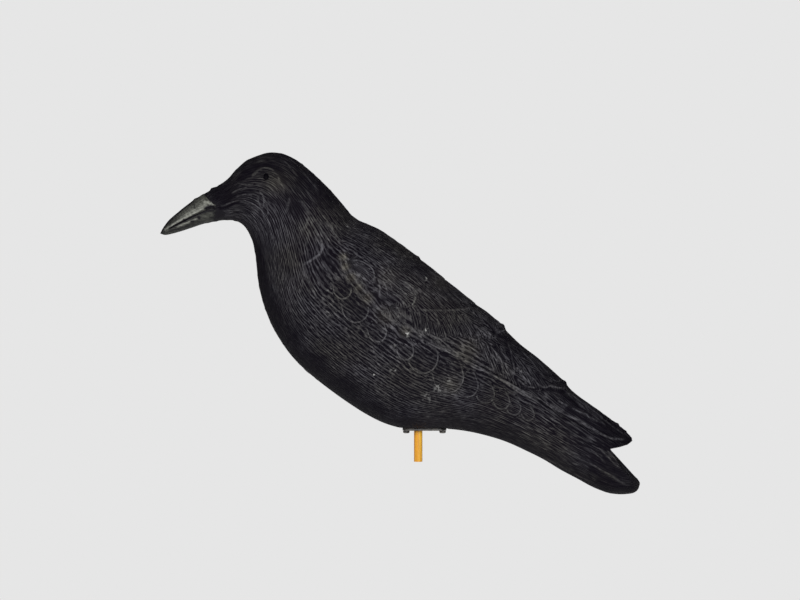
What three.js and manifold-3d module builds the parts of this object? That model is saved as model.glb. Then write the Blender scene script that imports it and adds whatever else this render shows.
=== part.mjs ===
// A crow decoy: a matt black moulded bird with carved feathers, on a short wooden peg that goes up
// through a small screwed plate under its belly.
// Millimetres, +Z up, the beak towards -X. The origin is the middle of the peg's lower end.
import * as THREE from "three";
import { mergeVertices } from "three/addons/utils/BufferGeometryUtils.js";
import Module from "manifold-3d";

// Driving sizes, in millimetres.
const CROW_LENGTH = 433; // beak tip to tail tip in a straight line
const GAP = 0.3; // between pieces that touch

const PEG_DIAMETER = 6.7;
const PEG_SHOWN = 25; // below the plate
const PEG_SUNK = 24; // above the plate, inside the bird

const PLATE_LENGTH = 35;
const PLATE_WIDTH = 18;
const PLATE_CORNER = 6;
const PLATE_THICKNESS = 2;
const PLATE_BEHIND_PEG = 5; // from the peg's axis back to the middle of the plate
const BOSS_MARGIN = 1.5; // the moulded flat shows this much around the plate
const BOSS_HEIGHT = 9; // up into the belly

const SCREW_FROM_END = 3; // from the plate's end to the screw's axis
const SCREW_HEAD_DIAMETER = 5.4;
const SCREW_HEAD_HEIGHT = 2;
const SCREW_SHANK_DIAMETER = 3;
const SCREW_LENGTH = 14; // below the head
const RECESS_LENGTH = 3.2;
const RECESS_WIDTH = 0.9;
const RECESS_DEPTH = 1.1;

const EYE_HEIGHT = 6;
const EYE_STANDS_OUT = 1.3;
const EYE_RING_THICKNESS = 1;
const EYE_RING_AWAY = 0.5; // from the eye to the ring

const MOUTH_DEPTH = 1.2;
const GROOVE_DEPTH = 1.3; // round each carved feather
const GROOVE_HALF_WIDTH = 1.3;
const VALLEY_DEPTH = 2.2; // along the back, between the wings
const VALLEY_HALF_WIDTH = 4.5;

// The bird is drawn on a square grid, x towards the tail and y down, SQUARES_LONG from beak tip to tail tip.
// SEAT is the point of the belly straight above the peg's axis, where the plate sits.
const SQUARES_LONG = 541.5;
const SQUARE = CROW_LENGTH / SQUARES_LONG;
const SEAT = { x: 418.2, y: 428 };
const SEAT_HEIGHT = PEG_SHOWN + PLATE_THICKNESS;

// Ribs across the bird from beak tip to tail tip. Each has the grid point on the back, the grid point on the
// belly, and half the width.
const RIBS = [
  [160.2, 233.5, 160.2, 233.5, 0],
  [163, 228, 165, 235, 2.8],
  [169, 220, 172, 233.8, 5],
  [178, 212.2, 182, 231, 7.2],
  [188, 204.2, 193, 227.3, 9.3],
  [198, 197.3, 203, 224, 11.4],
  [208, 191.7, 212, 222, 13.6],
  [218, 186, 221, 220.4, 16.5],
  [228, 178.7, 229, 220, 20],
  [237, 168.8, 236, 221, 24],
  [246, 161, 242, 224, 27.5],
  [257, 156, 247, 229.5, 30],
  [269, 152.6, 251, 237, 31.8],
  [282, 153.6, 254, 246.5, 33],
  [294, 158.6, 255.8, 257, 34.3],
  [306, 167.3, 257, 269.5, 36.3],
  [318, 178, 258.8, 283.5, 39.5],
  [330, 189.8, 262, 298.5, 43.5],
  [342, 203.6, 266.3, 312, 48],
  [354, 217.5, 272.5, 326.5, 52.5],
  [368, 224.3, 281, 341, 56.5],
  [383, 232, 291.5, 355.5, 60],
  [398, 242.2, 304, 368.5, 62.8],
  [413, 254, 318, 380.5, 64.5],
  [428, 265.3, 333, 392, 65.3],
  [443, 277.7, 349, 403.3, 65],
  [458, 290.2, 366, 414, 63.5],
  [473, 302.7, 384, 423, 61],
  [488, 314.2, 403, 428.3, 57.8],
  [503, 327.5, 423, 429.2, 54],
  [518, 342, 444, 428.8, 49.8],
  [533, 354.8, 465, 431, 45.5],
  [548, 368, 486, 435.8, 41.3],
  [562, 381.5, 506, 442, 37.5],
  [575, 394.2, 525, 450.5, 34.5],
  [588, 403.6, 543, 459.7, 32.5],
  [599, 411.3, 560, 470, 31.5],
  [609, 418.5, 577, 478.8, 31.5],
  [617, 424.2, 592, 486.8, 32],
  [624, 430, 606, 492.2, 32.6],
  [630, 435.5, 618, 494.2, 32.5],
  [634.5, 441, 628, 493.8, 30],
  [638, 455, 634, 492.5, 24],
  [639.8, 470, 637.8, 489.3, 14],
  [639.9, 484, 639.9, 484, 0],
];
const LAST = RIBS.length - 1;

// Curves over the rib number, as [rib, value] pairs. A share runs from 0 at the back to 1 at the belly.
const FULLNESS = [[0, 1.7], [6, 1.9], [10, 2.2], [20, 2.3], [30, 2.2], [36, 1.9], [41, 2.2], [44, 2.2]];
const WIDEST_AT = [
  [0, 0.5], [9, 0.52], [16, 0.5], [26, 0.48], [31, 0.52], [35, 0.66], [38, 0.76], [41, 0.7], [44, 0.5],
];
const MOUTH_AT = [[0, 0.52], [2, 0.57], [5, 0.56], [6, 0.545], [7, 0.61], [8, 0.65], [10, 0.665]];
const WING_EDGE_AT = [
  [17, 0.2], [19, 0.24], [20, 0.3], [21, 0.36], [22, 0.395], [23.5, 0.42], [25, 0.39], [26, 0.36], [29, 0.34],
  [32, 0.35], [34, 0.34], [36, 0.3], [38, 0.255], [40, 0.19], [41.5, 0.12],
];
const TAIL_LEDGE_AT = [[34, 0.86], [35.5, 0.76], [37, 0.71], [39, 0.73], [41, 0.77], [44, 0.62]];
const WING_LOBE = [[28, 0], [30, 26], [33, 31], [35, 26], [37, 20], [39, 13.5], [41, 5], [42, 2], [44, 0]];
const WING_LOBE_END = [[28, 0.5], [33, 0.46], [36, 0.42], [38, 0.4], [40, 0.36], [44, 0.3]];
const WING_TIP_TAPER = [[36.5, 0], [38, 0.12], [40, 0.4], [41.5, 0.62], [44, 0.62]];

// How far forms stand out or step, in grid squares, and the ribs between which they do.
const WING_THICKNESS = 3.4;
const WING_RIBS = { from: 18.6, full: 20.1, fades: 38, ends: 41 };
const TAIL_LEDGE = 2;
const TAIL_LEDGE_RIBS = { from: 34, full: 37, fades: 42, ends: 44 };
const WING_LOBE_ROUNDNESS = 2.4;
const WING_LOBE_FROM_RIB = 28;
const FACE_STEP = 1.1; // the feathered face stands this far out round the beak
const FACE_RIB = 6.4;
const STEP_WIDTH = 0.13; // ribs over which a step rises
const MOUTH_RIBS = { from: 0.4, full: 2, fades: 7.3, ends: 9.8 };
const MOUTH_SPREAD = 0.035; // share
const MOUTH_MOST = 0.4; // share of the beak's half width that the mouth may take

// Where the feather layers end on the back, and how far each steps down.
const BACK_STEPS = [
  { rib: 27.1, drop: 1.2 },
  { rib: 29.15, drop: 2.6 },
  { rib: 33.25, drop: 2.6 },
];
const LAYER_RUN = 2.6; // ribs over which a layer thickens towards its end
const LAYER_UP = 0.6; // share of a drop that shows in the outline of the back
const LAYER_TOP = 0.12; // share at which a layer's side begins
const LAYER_END = 0.45; // share at which it has run out

const clamp = (v, lo, hi) => Math.min(hi, Math.max(lo, v));
const smooth = (a, b, v) => {
  const s = clamp((v - a) / (b - a), 0, 1);
  return s * s * (3 - 2 * s);
};
const within = ({ from, full, fades, ends }, rib) => smooth(from, full, rib) * (1 - smooth(fades, ends, rib));
const radians = (degrees) => (degrees * Math.PI) / 180;

// A smooth curve through [station, value] pairs.
function through(pairs) {
  const slope = (i) => {
    const a = pairs[Math.max(0, i - 1)];
    const b = pairs[Math.min(pairs.length - 1, i + 1)];
    return (b[1] - a[1]) / (b[0] - a[0]);
  };
  return (at) => {
    const s = clamp(at, pairs[0][0], pairs[pairs.length - 1][0]);
    let i = 0;
    while (i < pairs.length - 2 && s > pairs[i + 1][0]) i += 1;
    const [x0, y0] = pairs[i];
    const [x1, y1] = pairs[i + 1];
    const run = x1 - x0;
    const q = (s - x0) / run;
    const q2 = q * q;
    const q3 = q2 * q;
    const ends = y0 * (2 * q3 - 3 * q2 + 1) + y1 * (3 * q2 - 2 * q3);
    return ends + slope(i) * run * (q3 - 2 * q2 + q) + slope(i + 1) * run * (q3 - q2);
  };
}
const column = (k) => through(RIBS.map((rib, i) => [i, rib[k]]));
const [backX, backY, bellyX, bellyY, halfWidth] = [0, 1, 2, 3, 4].map(column);
const fullness = through(FULLNESS);
const widestAt = through(WIDEST_AT);
const mouthAt = through(MOUTH_AT);
const wingEdgeAt = through(WING_EDGE_AT);
const tailLedgeAt = through(TAIL_LEDGE_AT);
const wingLobe = through(WING_LOBE);
const wingLobeEnd = through(WING_LOBE_END);
const wingTipTaper = through(WING_TIP_TAPER);

// 1 at the middle of a bulge and 0 past its edge, with a rounder or squarer shoulder.
const bulge = (off, n) => Math.max(0, 1 - Math.abs(off) ** n) ** (1 / n);

// Half the bird's width at a rib and share, in grid squares.
function halfBreadth(rib, share) {
  const widest = widestAt(rib);
  const off = share < widest ? (share - widest) / widest : (share - widest) / (1 - widest);
  let breadth = halfWidth(rib) * bulge(off, fullness(rib));
  if (rib > WING_LOBE_FROM_RIB) {
    const across = clamp((share / wingLobeEnd(rib)) * 2 - 1, -1, 1);
    const wing = Math.max(0, wingLobe(rib)) * bulge(across, WING_LOBE_ROUNDNESS);
    breadth = (breadth ** 4 + wing ** 4) ** 0.25;
  }
  breadth += wingStandsOut(rib, share);
  breadth *= 1 - wingTipTaper(rib) * (1 - smooth(0.12, 0.42, share));
  const ledge = tailLedgeAt(rib);
  breadth += TAIL_LEDGE * within(TAIL_LEDGE_RIBS, rib) * (1 - smooth(ledge - 0.02, ledge + 0.03, share));
  breadth -= FACE_STEP * (1 - smooth(FACE_RIB, FACE_RIB + STEP_WIDTH, rib)) * smooth(0, 3, rib);
  return breadth - Math.min(mouthCut(rib, share), breadth * MOUTH_MOST);
}

function wingStandsOut(rib, share) {
  const edge = wingEdgeAt(rib);
  const round = Math.sqrt(clamp(4 * share * (1 - share), 0, 1));
  return WING_THICKNESS * within(WING_RIBS, rib) * round * (1 - smooth(edge - 0.012, edge + 0.012, share));
}

function mouthCut(rib, share) {
  const away = (share - mouthAt(rib)) / MOUTH_SPREAD;
  return (MOUTH_DEPTH / SQUARE) * within(MOUTH_RIBS, rib) * Math.exp(-away * away);
}

// How far the feather layers stand above the plain outline of the back.
function layerLift(rib) {
  let lift = 0;
  for (const { rib: end, drop } of BACK_STEPS)
    if (rib < end) lift += drop * clamp(1 - (end - rib) / LAYER_RUN, 0, 1);
  return lift;
}

// A grid point, and a distance out from the bird's middle plane in squares, as a place.
const place = ([x, y], out = 0) =>
  new THREE.Vector3((x - SEAT.x) * SQUARE, out * SQUARE, SEAT_HEIGHT + (SEAT.y - y) * SQUARE);

// A place on the bird's skin. The side is -1 for its left and 1 for its right.
function skin(rib, share, side) {
  const lift = layerLift(rib) * (1 - smooth(0, LAYER_END, share));
  const inSide = smooth(0, LAYER_TOP, share);
  const x = backX(rib) + (bellyX(rib) - backX(rib)) * share;
  const y = backY(rib) + (bellyY(rib) - backY(rib)) * share - lift * LAYER_UP * (1 - inSide);
  return place([x, y], side * (halfBreadth(rib, share) + lift * inSide));
}

// The way out of the skin at a rib and share.
const NEAR_RIB = 0.2;
const NEAR_SHARE = 0.02;
function outward(rib, share, side) {
  const along = skin(rib + NEAR_RIB, share, side).sub(skin(rib - NEAR_RIB, share, side));
  const down = skin(rib, share + NEAR_SHARE, side).sub(skin(rib, share - NEAR_SHARE, side));
  const n = along.cross(down).normalize();
  return n.y * side < 0 ? n.negate() : n;
}

// The rib and share at a grid point. It halves the stretch of ribs that it lies in until that is short.
const SEARCH_RIBS = [4, 41];
const HALVINGS = 40;
const EDGE_OF_SIDE = 0.015; // share that a carved line keeps from the back and the belly
function locate([gx, gy]) {
  const down = (rib) => [bellyX(rib) - backX(rib), bellyY(rib) - backY(rib)];
  let [lo, hi] = SEARCH_RIBS;
  for (let i = 0; i < HALVINGS; i += 1) {
    const rib = (lo + hi) / 2;
    const [dx, dy] = down(rib);
    if (dx * (gy - backY(rib)) < dy * (gx - backX(rib))) lo = rib;
    else hi = rib;
  }
  const [dx, dy] = down(lo);
  const share = ((gx - backX(lo)) * dx + (gy - backY(lo)) * dy) / (dx * dx + dy * dy);
  return [lo, clamp(share, EDGE_OF_SIDE, 1 - EDGE_OF_SIDE)];
}

// Solids that are joined and cut.
const wasm = await Module();
wasm.setup();

function solid(geometry) {
  const bare = geometry.clone();
  bare.deleteAttribute("normal");
  bare.deleteAttribute("uv");
  const merged = mergeVertices(bare, 1e-4);
  const vertProperties = new Float32Array(merged.attributes.position.array);
  const triVerts = new Uint32Array(merged.index.array);
  return new wasm.Manifold(new wasm.Mesh({ numProp: 3, vertProperties, triVerts }));
}

function geometryOf(made) {
  const { vertProperties, triVerts } = made.getMesh();
  const geometry = new THREE.BufferGeometry();
  geometry.setAttribute("position", new THREE.BufferAttribute(vertProperties, 3));
  geometry.setIndex(new THREE.BufferAttribute(triVerts, 1));
  const flat = geometry.toNonIndexed();
  flat.computeVertexNormals();
  return flat;
}

function surface(points, faces) {
  const geometry = new THREE.BufferGeometry();
  geometry.setFromPoints(points);
  geometry.setIndex(faces);
  return geometry;
}

// A closed solid over rings of points, each ring with n of them. The caps are triangles within a ring, a fan
// unless others are given.
function overRings(points, n, caps) {
  const last = points.length - n;
  const fan = Array.from({ length: n - 2 }, (_, k) => [0, k + 1, k + 2]);
  const faces = (caps ?? fan).flatMap(([a, b, c]) => [a, c, b, last + a, last + b, last + c]);
  for (let ring = 0; ring < last; ring += n)
    for (let k = 0; k < n; k += 1) {
      const a = ring + k;
      const b = ring + ((k + 1) % n);
      faces.push(a, b, b + n, a, b + n, a + n);
    }
  const made = solid(surface(points, faces));
  return made.volume() > 0 ? made : solid(surface(points, faces.toReversed()));
}

// The bird's plain form, lofted over rings of points. Two lines of points run close along the mouth and the
// wing's lower edge, so that both stay sharp.
const ABOVE_EDGE = 6;
const BELOW_EDGE = 8;
const HALF_ROUND = ABOVE_EDGE + BELOW_EDGE + 1;
const EDGE_SHARE = 0.016;
const MOUTH_TO_WING = [10, 17]; // ribs between which the two lines cross from one to the other
const FIRST_RING = 0.35;
const RING_STEP = 1.2; // ribs
const FINE_RING_STEP = 0.8;
const FINE_RIBS = [12, 40]; // the rings are finer ahead of the first and behind the second
const BESIDE_STEP = 0.01;

function ringShares(rib) {
  const edge = THREE.MathUtils.lerp(mouthAt(rib), wingEdgeAt(rib), smooth(...MOUTH_TO_WING, rib));
  const top = Math.acos(1 - 2 * (edge - EDGE_SHARE));
  const bottom = Math.acos(1 - 2 * (edge + EDGE_SHARE));
  const shares = [];
  for (let i = 0; i <= ABOVE_EDGE; i += 1) shares.push((1 - Math.cos((top * i) / ABOVE_EDGE)) / 2);
  for (let i = 0; i <= BELOW_EDGE; i += 1)
    shares.push((1 - Math.cos(bottom + ((Math.PI - bottom) * i) / BELOW_EDGE)) / 2);
  return shares;
}

// The ribs that have a ring. The two nearest each step stand just beside it.
function ringRibs() {
  const ribs = [];
  for (let rib = FIRST_RING; rib < LAST; ) {
    ribs.push(rib);
    rib += rib < FINE_RIBS[0] || rib > FINE_RIBS[1] ? FINE_RING_STEP : RING_STEP;
  }
  for (const step of [FACE_RIB, ...BACK_STEPS.map(({ rib }) => rib)]) {
    const gap = (i) => Math.abs(ribs[i] - step);
    const nearest = ribs.reduce((best, _, i) => (gap(i) < gap(best) ? i : best), 0);
    ribs.splice(nearest, 1, step - BESIDE_STEP, step + STEP_WIDTH + BESIDE_STEP);
  }
  return ribs;
}

function plainForm() {
  const ribs = ringRibs();
  const around = 2 * HALF_ROUND;
  const points = [skin(0, 0.5, -1)];
  for (const rib of ribs) {
    const shares = ringShares(rib);
    for (let i = 0; i < around; i += 1) {
      const down = i <= HALF_ROUND ? i : around - i;
      const at = skin(rib, shares[down], i <= HALF_ROUND ? -1 : 1);
      if (down === 0 || down === HALF_ROUND) at.y = 0;
      points.push(at);
    }
  }
  points.push(skin(LAST, 0.5, -1));
  const tail = points.length - 1;
  const faces = [];
  const at = (ring, i) => 1 + ring * around + (i % around);
  for (let i = 0; i < around; i += 1) {
    faces.push(0, at(0, i + 1), at(0, i));
    faces.push(tail, at(ribs.length - 1, i), at(ribs.length - 1, i + 1));
    for (let ring = 0; ring < ribs.length - 1; ring += 1) {
      faces.push(at(ring, i), at(ring + 1, i + 1), at(ring + 1, i));
      faces.push(at(ring, i), at(ring, i + 1), at(ring + 1, i + 1));
    }
  }
  return solid(surface(points, faces));
}

// Carved feathers. Each is named by the grid point of its tip in the side view, the way it points in
// degrees below level, its length and its width. A row's values are curves over its feathers. A feather
// shows both of its edges, or only its lower one where the other runs under its neighbour.
const FEATHER_ROWS = [
  {
    name: "flank scallops",
    count: 9,
    edges: 2,
    x: [[0, 345], [1, 360], [2, 383], [3, 407], [4, 428], [5, 452], [6, 472], [8, 510]],
    y: [[0, 301], [1, 324], [2, 343], [3, 360], [4, 374], [5, 392], [6, 397], [8, 413]],
    points: [[0, 80], [4, 64], [7, 46], [8, 38]],
    length: [[0, 11], [1, 15], [4, 22], [5, 26], [8, 20]],
    width: [[0, 21], [1, 28], [2, 22], [3, 19], [4, 30], [5, 33], [6, 25], [8, 17]],
  },
  {
    name: "shoulder",
    count: 3,
    edges: 2,
    x: [[0, 376], [1, 415], [2, 398]],
    y: [[0, 280], [1, 305], [2, 321]],
    points: [[0, 36], [1, 42], [2, 50]],
    length: [[0, 21], [1, 20], [2, 15]],
    width: [[0, 20], [1, 19], [2, 15]],
  },
  {
    name: "coverts",
    count: 3,
    edges: 1,
    x: [[0, 436], [2, 478]],
    y: [[0, 337], [2, 343]],
    points: [[0, 66], [2, 52]],
    length: [[0, 24], [2, 26]],
    width: [[0, 21], [2, 21]],
  },
  {
    name: "mantle",
    count: 3,
    edges: 2,
    x: [[0, 396], [2, 464]],
    y: [[0, 266], [2, 308]],
    points: [[0, 40], [2, 36]],
    length: [[0, 22], [2, 24]],
    width: [[0, 26], [2, 24]],
  },
  {
    name: "tertials",
    count: 2,
    edges: 1,
    x: [[0, 496], [1, 504]],
    y: [[0, 365], [1, 342]],
    points: [[0, 60], [1, 44]],
    length: [[0, 36], [1, 34]],
    width: [[0, 17], [1, 19]],
  },
  {
    name: "secondaries",
    count: 3,
    edges: 1,
    x: [[0, 521], [1, 541], [2, 562]],
    y: [[0, 384], [1, 389], [2, 388]],
    points: [[0, 54], [2, 39]],
    length: [[0, 36], [2, 46]],
    width: [[0, 19], [2, 17]],
  },
  {
    name: "primaries",
    count: 2,
    edges: 1,
    x: [[0, 600], [1, 619]],
    y: [[0, 428], [1, 431.5]],
    points: [[0, 31], [1, 35]],
    length: [[0, 52], [1, 58]],
    width: [[0, 11], [1, 10]],
  },
];
const GROOVE_CLEAR = 1.6; // how far the cutter stands above the skin
const TIP_STEPS = 3; // straight cuts round a feather's tip
const TIP_ROUND = 0.6; // share of the length that the tip's curve may take
const EDGE_STEP = 24; // grid squares between points along a feather's edge
const ONE_EDGE_ENDS = -Math.PI / 8; // how far past the tip the cut goes where one edge shows

// Long feather edges in the tail, from front to back.
const TAIL_GROOVES = [
  [[554, 437], [576, 447], [597, 459], [618, 475]],
  [[546, 449], [570, 462], [594, 475], [617, 486]],
];

// A V-shaped cut along grid points of one side, running out to nothing at its ends.
function groove(path, side) {
  const stops = path.map((spot) => {
    const [rib, share] = locate(spot);
    return { at: skin(rib, share, side), up: outward(rib, share, side) };
  });
  const reach = GROOVE_HALF_WIDTH * (1 + GROOVE_CLEAR / GROOVE_DEPTH);
  const end = stops.length - 1;
  const points = stops.flatMap(({ at, up }, i) => {
    const along = stops[Math.min(i + 1, end)].at.clone().sub(stops[Math.max(i - 1, 0)].at);
    const across = new THREE.Vector3().crossVectors(up, along).normalize();
    const deep = i === 0 || i === end ? 0 : GROOVE_DEPTH;
    const top = at.clone().addScaledVector(up, GROOVE_CLEAR);
    const low = at.clone().addScaledVector(up, -deep);
    return [low, top.clone().addScaledVector(across, reach), top.clone().addScaledVector(across, -reach)];
  });
  return overRings(points, 3);
}

// A feather's shown edge as grid points: back along one side or both, and round its tip.
function featherEdge({ x, y, points, length, width }, edges) {
  const half = width / 2;
  const round = Math.min(half, length * TIP_ROUND);
  const steps = Math.max(1, Math.round((length - round) / EDGE_STEP));
  const last = edges === 2 ? -Math.PI / 2 : ONE_EDGE_ENDS;
  const spots = [];
  for (let i = 0; i < steps; i += 1) spots.push([length + ((round - length) * i) / steps, half]);
  for (let i = 0; i <= TIP_STEPS; i += 1) {
    const turn = Math.PI / 2 + ((last - Math.PI / 2) * i) / TIP_STEPS;
    spots.push([round * (1 - Math.cos(turn)), half * Math.sin(turn)]);
  }
  if (edges === 2) spots.push([round + (length - round) / steps, -half]);
  const [c, s] = [Math.cos(radians(points)), Math.sin(radians(points))];
  return spots.map(([back, across]) => [x - back * c - across * s, y - back * s + across * c]);
}

function featherEdges({ count, edges, ...row }) {
  const curves = ["x", "y", "points", "length", "width"].map((key) => [key, through(row[key])]);
  return Array.from({ length: count }, (_, i) =>
    featherEdge(Object.fromEntries(curves.map(([key, curve]) => [key, curve(i)])), edges),
  );
}

// The gap between the folded wing tips and the tail, right through from side to side. The tail's top is
// arched under it.
const GAP_APEX = [609, 448];
const WING_UNDERSIDE = [[619, 446.2], [627, 444], [631, 441.2], [633, 439.2]];
const TAIL_TOP = [[620, 460], [634.6, 476], [637, 478]];
const TAIL_ARCH = 7; // grid squares, at the tail's side
const TAIL_ARCH_STEPS = 10;
const BEYOND = 30; // grid squares past the bird
const TAIL_RIB = 38;

function tailGap() {
  const right = WING_UNDERSIDE.at(-1)[0] + BEYOND;
  const outline = (down) => [
    GAP_APEX,
    ...WING_UNDERSIDE,
    [right, WING_UNDERSIDE.at(-1)[1] - BEYOND],
    [right, TAIL_TOP.at(-1)[1] + down],
    ...TAIL_TOP.toReversed().map(([x, y]) => [x, y + down]),
  ];
  const caps = THREE.ShapeUtils.triangulateShape(outline(0).map(([x, y]) => new THREE.Vector2(x, y)), []);
  const side = halfWidth(TAIL_RIB);
  const rings = [];
  for (let i = 0; i <= TAIL_ARCH_STEPS; i += 1) {
    const out = (side + BEYOND) * ((2 * i) / TAIL_ARCH_STEPS - 1);
    rings.push(...outline(TAIL_ARCH * (out / side) ** 2).map((spot) => place(spot, out)));
  }
  return overRings(rings, outline(0).length, caps);
}

// The notch between the two wing tips, seen from above.
const TIPS_NOTCH_X = [596, 637]; // grid, from its point to past the tips
const TIPS_NOTCH_HALF = 9; // grid squares, at the tips

function tipsNotch() {
  const [point, open] = TIPS_NOTCH_X.map((x) => place([x, 0]).x);
  const half = TIPS_NOTCH_HALF * SQUARE;
  const low = place(GAP_APEX).z;
  const high = place([0, backY(TAIL_RIB) - BEYOND]).z;
  const corner = (x, y, z) => new THREE.Vector3(x, y, z);
  const ring = (z) => [corner(point, 0, z), corner(open, -half, z), corner(open, half, z)];
  return overRings([...ring(low), ...ring(high)], 3);
}

// The shallow valley along the back where the two folded wings meet.
const VALLEY_RIBS = [24, 38];
const VALLEY_DEEPENS = 5; // ribs

function backValley() {
  const [from, to] = VALLEY_RIBS;
  const points = [];
  for (let rib = from; rib <= to; rib += 1) {
    const deep = VALLEY_DEPTH * smooth(from - 1, from - 1 + VALLEY_DEEPENS, rib);
    const back = place([backX(rib), backY(rib)]);
    const along = place([backX(rib + 1), backY(rib + 1)]).sub(place([backX(rib - 1), backY(rib - 1)]));
    const up = new THREE.Vector3(-along.z, 0, along.x).normalize();
    const side = new THREE.Vector3(0, 2 * VALLEY_HALF_WIDTH, 0);
    const top = back.clone().addScaledVector(up, deep);
    points.push(back.clone().addScaledVector(up, -deep), top.clone().add(side), top.sub(side));
  }
  return overRings(points, 3);
}

// The eye: a low dome in a raised ring, both a little narrower than high.
const EYE = [267, 177.5];
const EYE_NARROWS = 0.8;

function eye(side) {
  const [rib, share] = locate(EYE);
  const up = new THREE.Vector3(0, 0, 1);
  const turn = new THREE.Quaternion().setFromUnitVectors(up, outward(rib, share, side));
  const narrow = new THREE.Vector3(EYE_NARROWS, 1, 1);
  const set = new THREE.Matrix4().compose(skin(rib, share, side), turn, narrow);
  const radius = EYE_HEIGHT / 2;
  const dome = new THREE.SphereGeometry(radius, 12, 6).scale(1, 1, EYE_STANDS_OUT / radius);
  const ringRadius = radius + EYE_RING_AWAY + EYE_RING_THICKNESS / 2;
  const ring = new THREE.TorusGeometry(ringRadius, EYE_RING_THICKNESS, 4, 14);
  return solid(dome.applyMatrix4(set)).add(solid(ring.applyMatrix4(set)));
}

// A rounded rectangle, extruded up from its own origin.
const CORNER_STEPS = 4;
function roundedPad(length, width, corner, height) {
  const shape = new THREE.Shape();
  const [x, y] = [length / 2 - corner, width / 2 - corner];
  shape.moveTo(-x, -y - corner);
  shape.absarc(x, -y, corner, -Math.PI / 2, 0, false);
  shape.absarc(x, y, corner, 0, Math.PI / 2, false);
  shape.absarc(-x, y, corner, Math.PI / 2, Math.PI, false);
  shape.absarc(-x, -y, corner, Math.PI, 1.5 * Math.PI, false);
  const up = { depth: height, bevelEnabled: false, curveSegments: CORNER_STEPS };
  return new THREE.ExtrudeGeometry(shape, up);
}

// A round bar, standing up from its own origin.
const ROUND_SIDES = 24;
const roundBar = (diameter, height) =>
  new THREE.CylinderGeometry(diameter / 2, diameter / 2, height, ROUND_SIDES)
    .rotateX(Math.PI / 2)
    .translate(0, 0, height / 2);

const screwX = (end) => PLATE_BEHIND_PEG + end * (PLATE_LENGTH / 2 - SCREW_FROM_END);

// The holes for the peg and the two screws, up from the origin's height.
function fastenerHoles() {
  const peg = solid(roundBar(PEG_DIAMETER + 2 * GAP, SEAT_HEIGHT + PEG_SUNK + GAP));
  const shank = roundBar(SCREW_SHANK_DIAMETER + 2 * GAP, PEG_SHOWN + SCREW_LENGTH);
  return [-1, 1].reduce((holes, end) => holes.add(solid(shank).translate([screwX(end), 0, 0])), peg);
}

function crowBody() {
  let made = plainForm();
  for (const side of [-1, 1]) {
    for (const path of [...FEATHER_ROWS.flatMap(featherEdges), ...TAIL_GROOVES])
      made = made.subtract(groove(path, side));
    made = made.add(eye(side));
  }
  made = made.subtract(tailGap()).subtract(tipsNotch()).subtract(backValley());
  const face = SEAT_HEIGHT + GAP;
  const [length, width] = [PLATE_LENGTH, PLATE_WIDTH].map((size) => size + 2 * BOSS_MARGIN);
  const pad = (height) => roundedPad(length, width, PLATE_CORNER + BOSS_MARGIN, height);
  made = made.add(solid(pad(BOSS_HEIGHT).translate(PLATE_BEHIND_PEG, 0, face)));
  made = made.subtract(solid(pad(face).translate(PLATE_BEHIND_PEG, 0, 0)));
  return geometryOf(made.subtract(fastenerHoles()));
}

function bellyPlate() {
  const plate = solid(roundedPad(PLATE_LENGTH, PLATE_WIDTH, PLATE_CORNER, PLATE_THICKNESS));
  return geometryOf(plate.subtract(fastenerHoles().translate([-PLATE_BEHIND_PEG, 0, -PEG_SHOWN])));
}

// A pan-head screw with a cross recess. Its origin is under its head, which hangs below it.
const SCREW_SIDES = 14;
function plateScrew() {
  const r = SCREW_HEAD_DIAMETER / 2;
  const shank = SCREW_SHANK_DIAMETER / 2;
  const profile = new THREE.Path();
  profile.moveTo(0, -SCREW_HEAD_HEIGHT);
  profile.absellipse(0, -SCREW_HEAD_HEIGHT / 2, r, SCREW_HEAD_HEIGHT / 2, -Math.PI / 2, 0, false);
  profile.lineTo(r, 0);
  profile.lineTo(shank, 0);
  profile.lineTo(shank, SCREW_LENGTH - shank);
  profile.lineTo(0, SCREW_LENGTH);
  const points = profile.getPoints(3).filter((p, i, all) => i === 0 || p.distanceTo(all[i - 1]) > 1e-6);
  let made = solid(new THREE.LatheGeometry(points, SCREW_SIDES).rotateX(Math.PI / 2));
  const slot = new THREE.BoxGeometry(RECESS_LENGTH, RECESS_WIDTH, 2 * RECESS_DEPTH);
  slot.translate(0, 0, -SCREW_HEAD_HEIGHT);
  for (const turn of [0, 90]) made = made.subtract(solid(slot).rotate([0, 0, turn]));
  return geometryOf(made);
}

const crow = new THREE.Group();
crow.name = "crow_decoy";

function addPiece(name, geometry, position, look) {
  const mesh = new THREE.Mesh(geometry, new THREE.MeshStandardMaterial(look));
  mesh.name = name;
  mesh.position.set(...position);
  crow.add(mesh);
}

const blackPlastic = { color: 0x262629, roughness: 0.75, metalness: 0 };
const blackSteel = { color: 0x202022, roughness: 0.5, metalness: 0.6 };
const varnishedWood = { color: 0xe0a24a, roughness: 0.5, metalness: 0 };

addPiece("crow_body", crowBody(), [0, 0, 0], blackPlastic);
addPiece("belly_plate", bellyPlate(), [PLATE_BEHIND_PEG, 0, PEG_SHOWN], blackSteel);
addPiece("plate_screw_front", plateScrew(), [screwX(-1), 0, PEG_SHOWN - GAP], blackSteel);
addPiece("plate_screw_rear", plateScrew(), [screwX(1), 0, PEG_SHOWN - GAP], blackSteel);
addPiece("peg", roundBar(PEG_DIAMETER, SEAT_HEIGHT + PEG_SUNK), [0, 0, 0], varnishedWood);

export default crow;
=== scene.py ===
"""The looks of a crow decoy: a matt black moulded bird with its belly plate, two screws and a wooden peg.

Metres, +Z up, the beak towards -X and the bird's left side towards -Y. MM turns millimetres into metres.
"""

import math

import bmesh
import bpy
import numpy as np
from bpy.props import FloatProperty, FloatVectorProperty, IntProperty, PointerProperty
from mathutils import Matrix, Vector


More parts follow.
